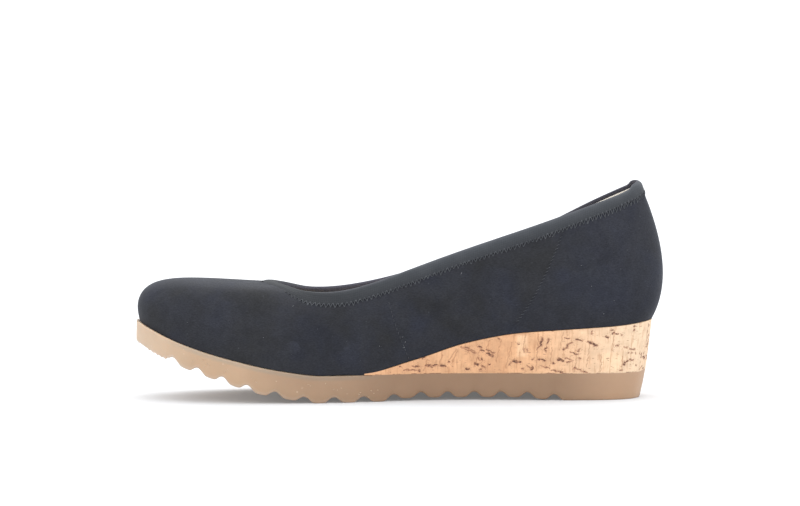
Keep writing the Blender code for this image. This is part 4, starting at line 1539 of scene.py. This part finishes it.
def floor():
    bpy.ops.object.select_all(action="DESELECT")
    bpy.ops.mesh.primitive_plane_add(size=FLOOR_SIZE, location=(0.0, 0.0, 0.0))
    plane = bpy.context.view_layer.objects.active
    plane.name = "floor"
    material, _, _ = finish(
        "floor", Base_Color=FLOOR_TONE, Roughness=0.9, Specular_IOR_Level=0.0,
        Emission_Color=WHITE, Emission_Strength=FLOOR_GLOW)
    wear(plane, material)


def lights():
    """Wide soft lights; azimuth 0 shines from the camera's side and 90 from the heel's."""
    for light in LIGHTS:
        bpy.ops.object.light_add(type="SUN")
        lamp = bpy.context.view_layer.objects.active
        lamp.name = light.name
        lamp.data.energy = light.strength
        lamp.data.angle = math.radians(light.spread)
        turn = math.radians(light.azimuth)
        rise = math.radians(light.elevation)
        level = math.cos(rise)
        towards = Vector((math.sin(turn) * level, -math.cos(turn) * level, math.sin(rise)))
        lamp.rotation_euler = towards.to_track_quat("Z", "Y").to_euler()
    world = bpy.data.worlds.new("studio")
    world.use_nodes = True
    background = world.node_tree.nodes["Background"]
    background.inputs["Color"].default_value = WHITE
    background.inputs["Strength"].default_value = WORLD_STRENGTH
    bpy.context.scene.world = world


def camera():
    bpy.ops.object.camera_add(location=CAMERA_PLACE)
    made = bpy.context.view_layer.objects.active
    made.name = "camera"
    view = Vector(CAMERA_TARGET) - Vector(CAMERA_PLACE)
    made.rotation_euler = view.to_track_quat("-Z", "Y").to_euler()
    made.data.lens = LENS
    made.data.sensor_width = SENSOR
    made.data.clip_end = VIEW_DEPTH
    bpy.context.scene.camera = made
    bpy.context.scene.view_settings.view_transform = "Standard"


# The shoe put together.

band = elastic_topline()
suede, lining = suede_upper(band)
zigzag, holes = zigzag_stitching(band, suede)
seams = seam_stitching(suede)
fibres = bits("lint", LINTS, suede, LINT_RADIUS)
sole = rubber_outsole()
crumbs = bits("rubber_crumbs", CRUMBS, sole, CRUMB_RADIUS)
cork = cork_wedge()
pad = sock()

wear(suede, suede_finish())
wear(lining, lining_finish("lining", LINING_SHADES))
wear(band.piece, elastic_finish())
wear(zigzag, thread_finish("zigzag_thread", ZIGZAG_SHADES, ZIGZAG_AT_THROAT))
wear(holes, thread_finish("needle_hole_shade", HOLE_SHADE_TONES))
wear(seams, thread_finish("seam_thread", SEAM_SHADES))
wear(fibres, thread_finish("lint", LINT_SHADES))
wear(crumbs, thread_finish("rubber_crumbs", CRUMB_SHADES))
wear(sole, rubber_finish())
wear(cork, cork_finish())
wear(pad, lining_finish("sock", SOCK_SHADES))

Worn = namedtuple("Worn", ("piece", "node", "slot"))
for worn in (Worn(suede, "upper", "suede"), Worn(lining, None, "lining"),
             Worn(band.piece, "topline_binding", "elastic"), Worn(zigzag, None, "elastic"),
             Worn(holes, None, "suede"), Worn(seams, None, "suede"), Worn(fibres, None, "suede"),
             Worn(sole, "outsole", "crepe_rubber"), Worn(crumbs, None, "crepe_rubber"),
             Worn(cork, "wedge", "cork"), Worn(pad, "insole", "lining")):
    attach(worn.piece, BODY)
    if worn.node:
        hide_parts(worn.node)

floor()
lights()
camera()
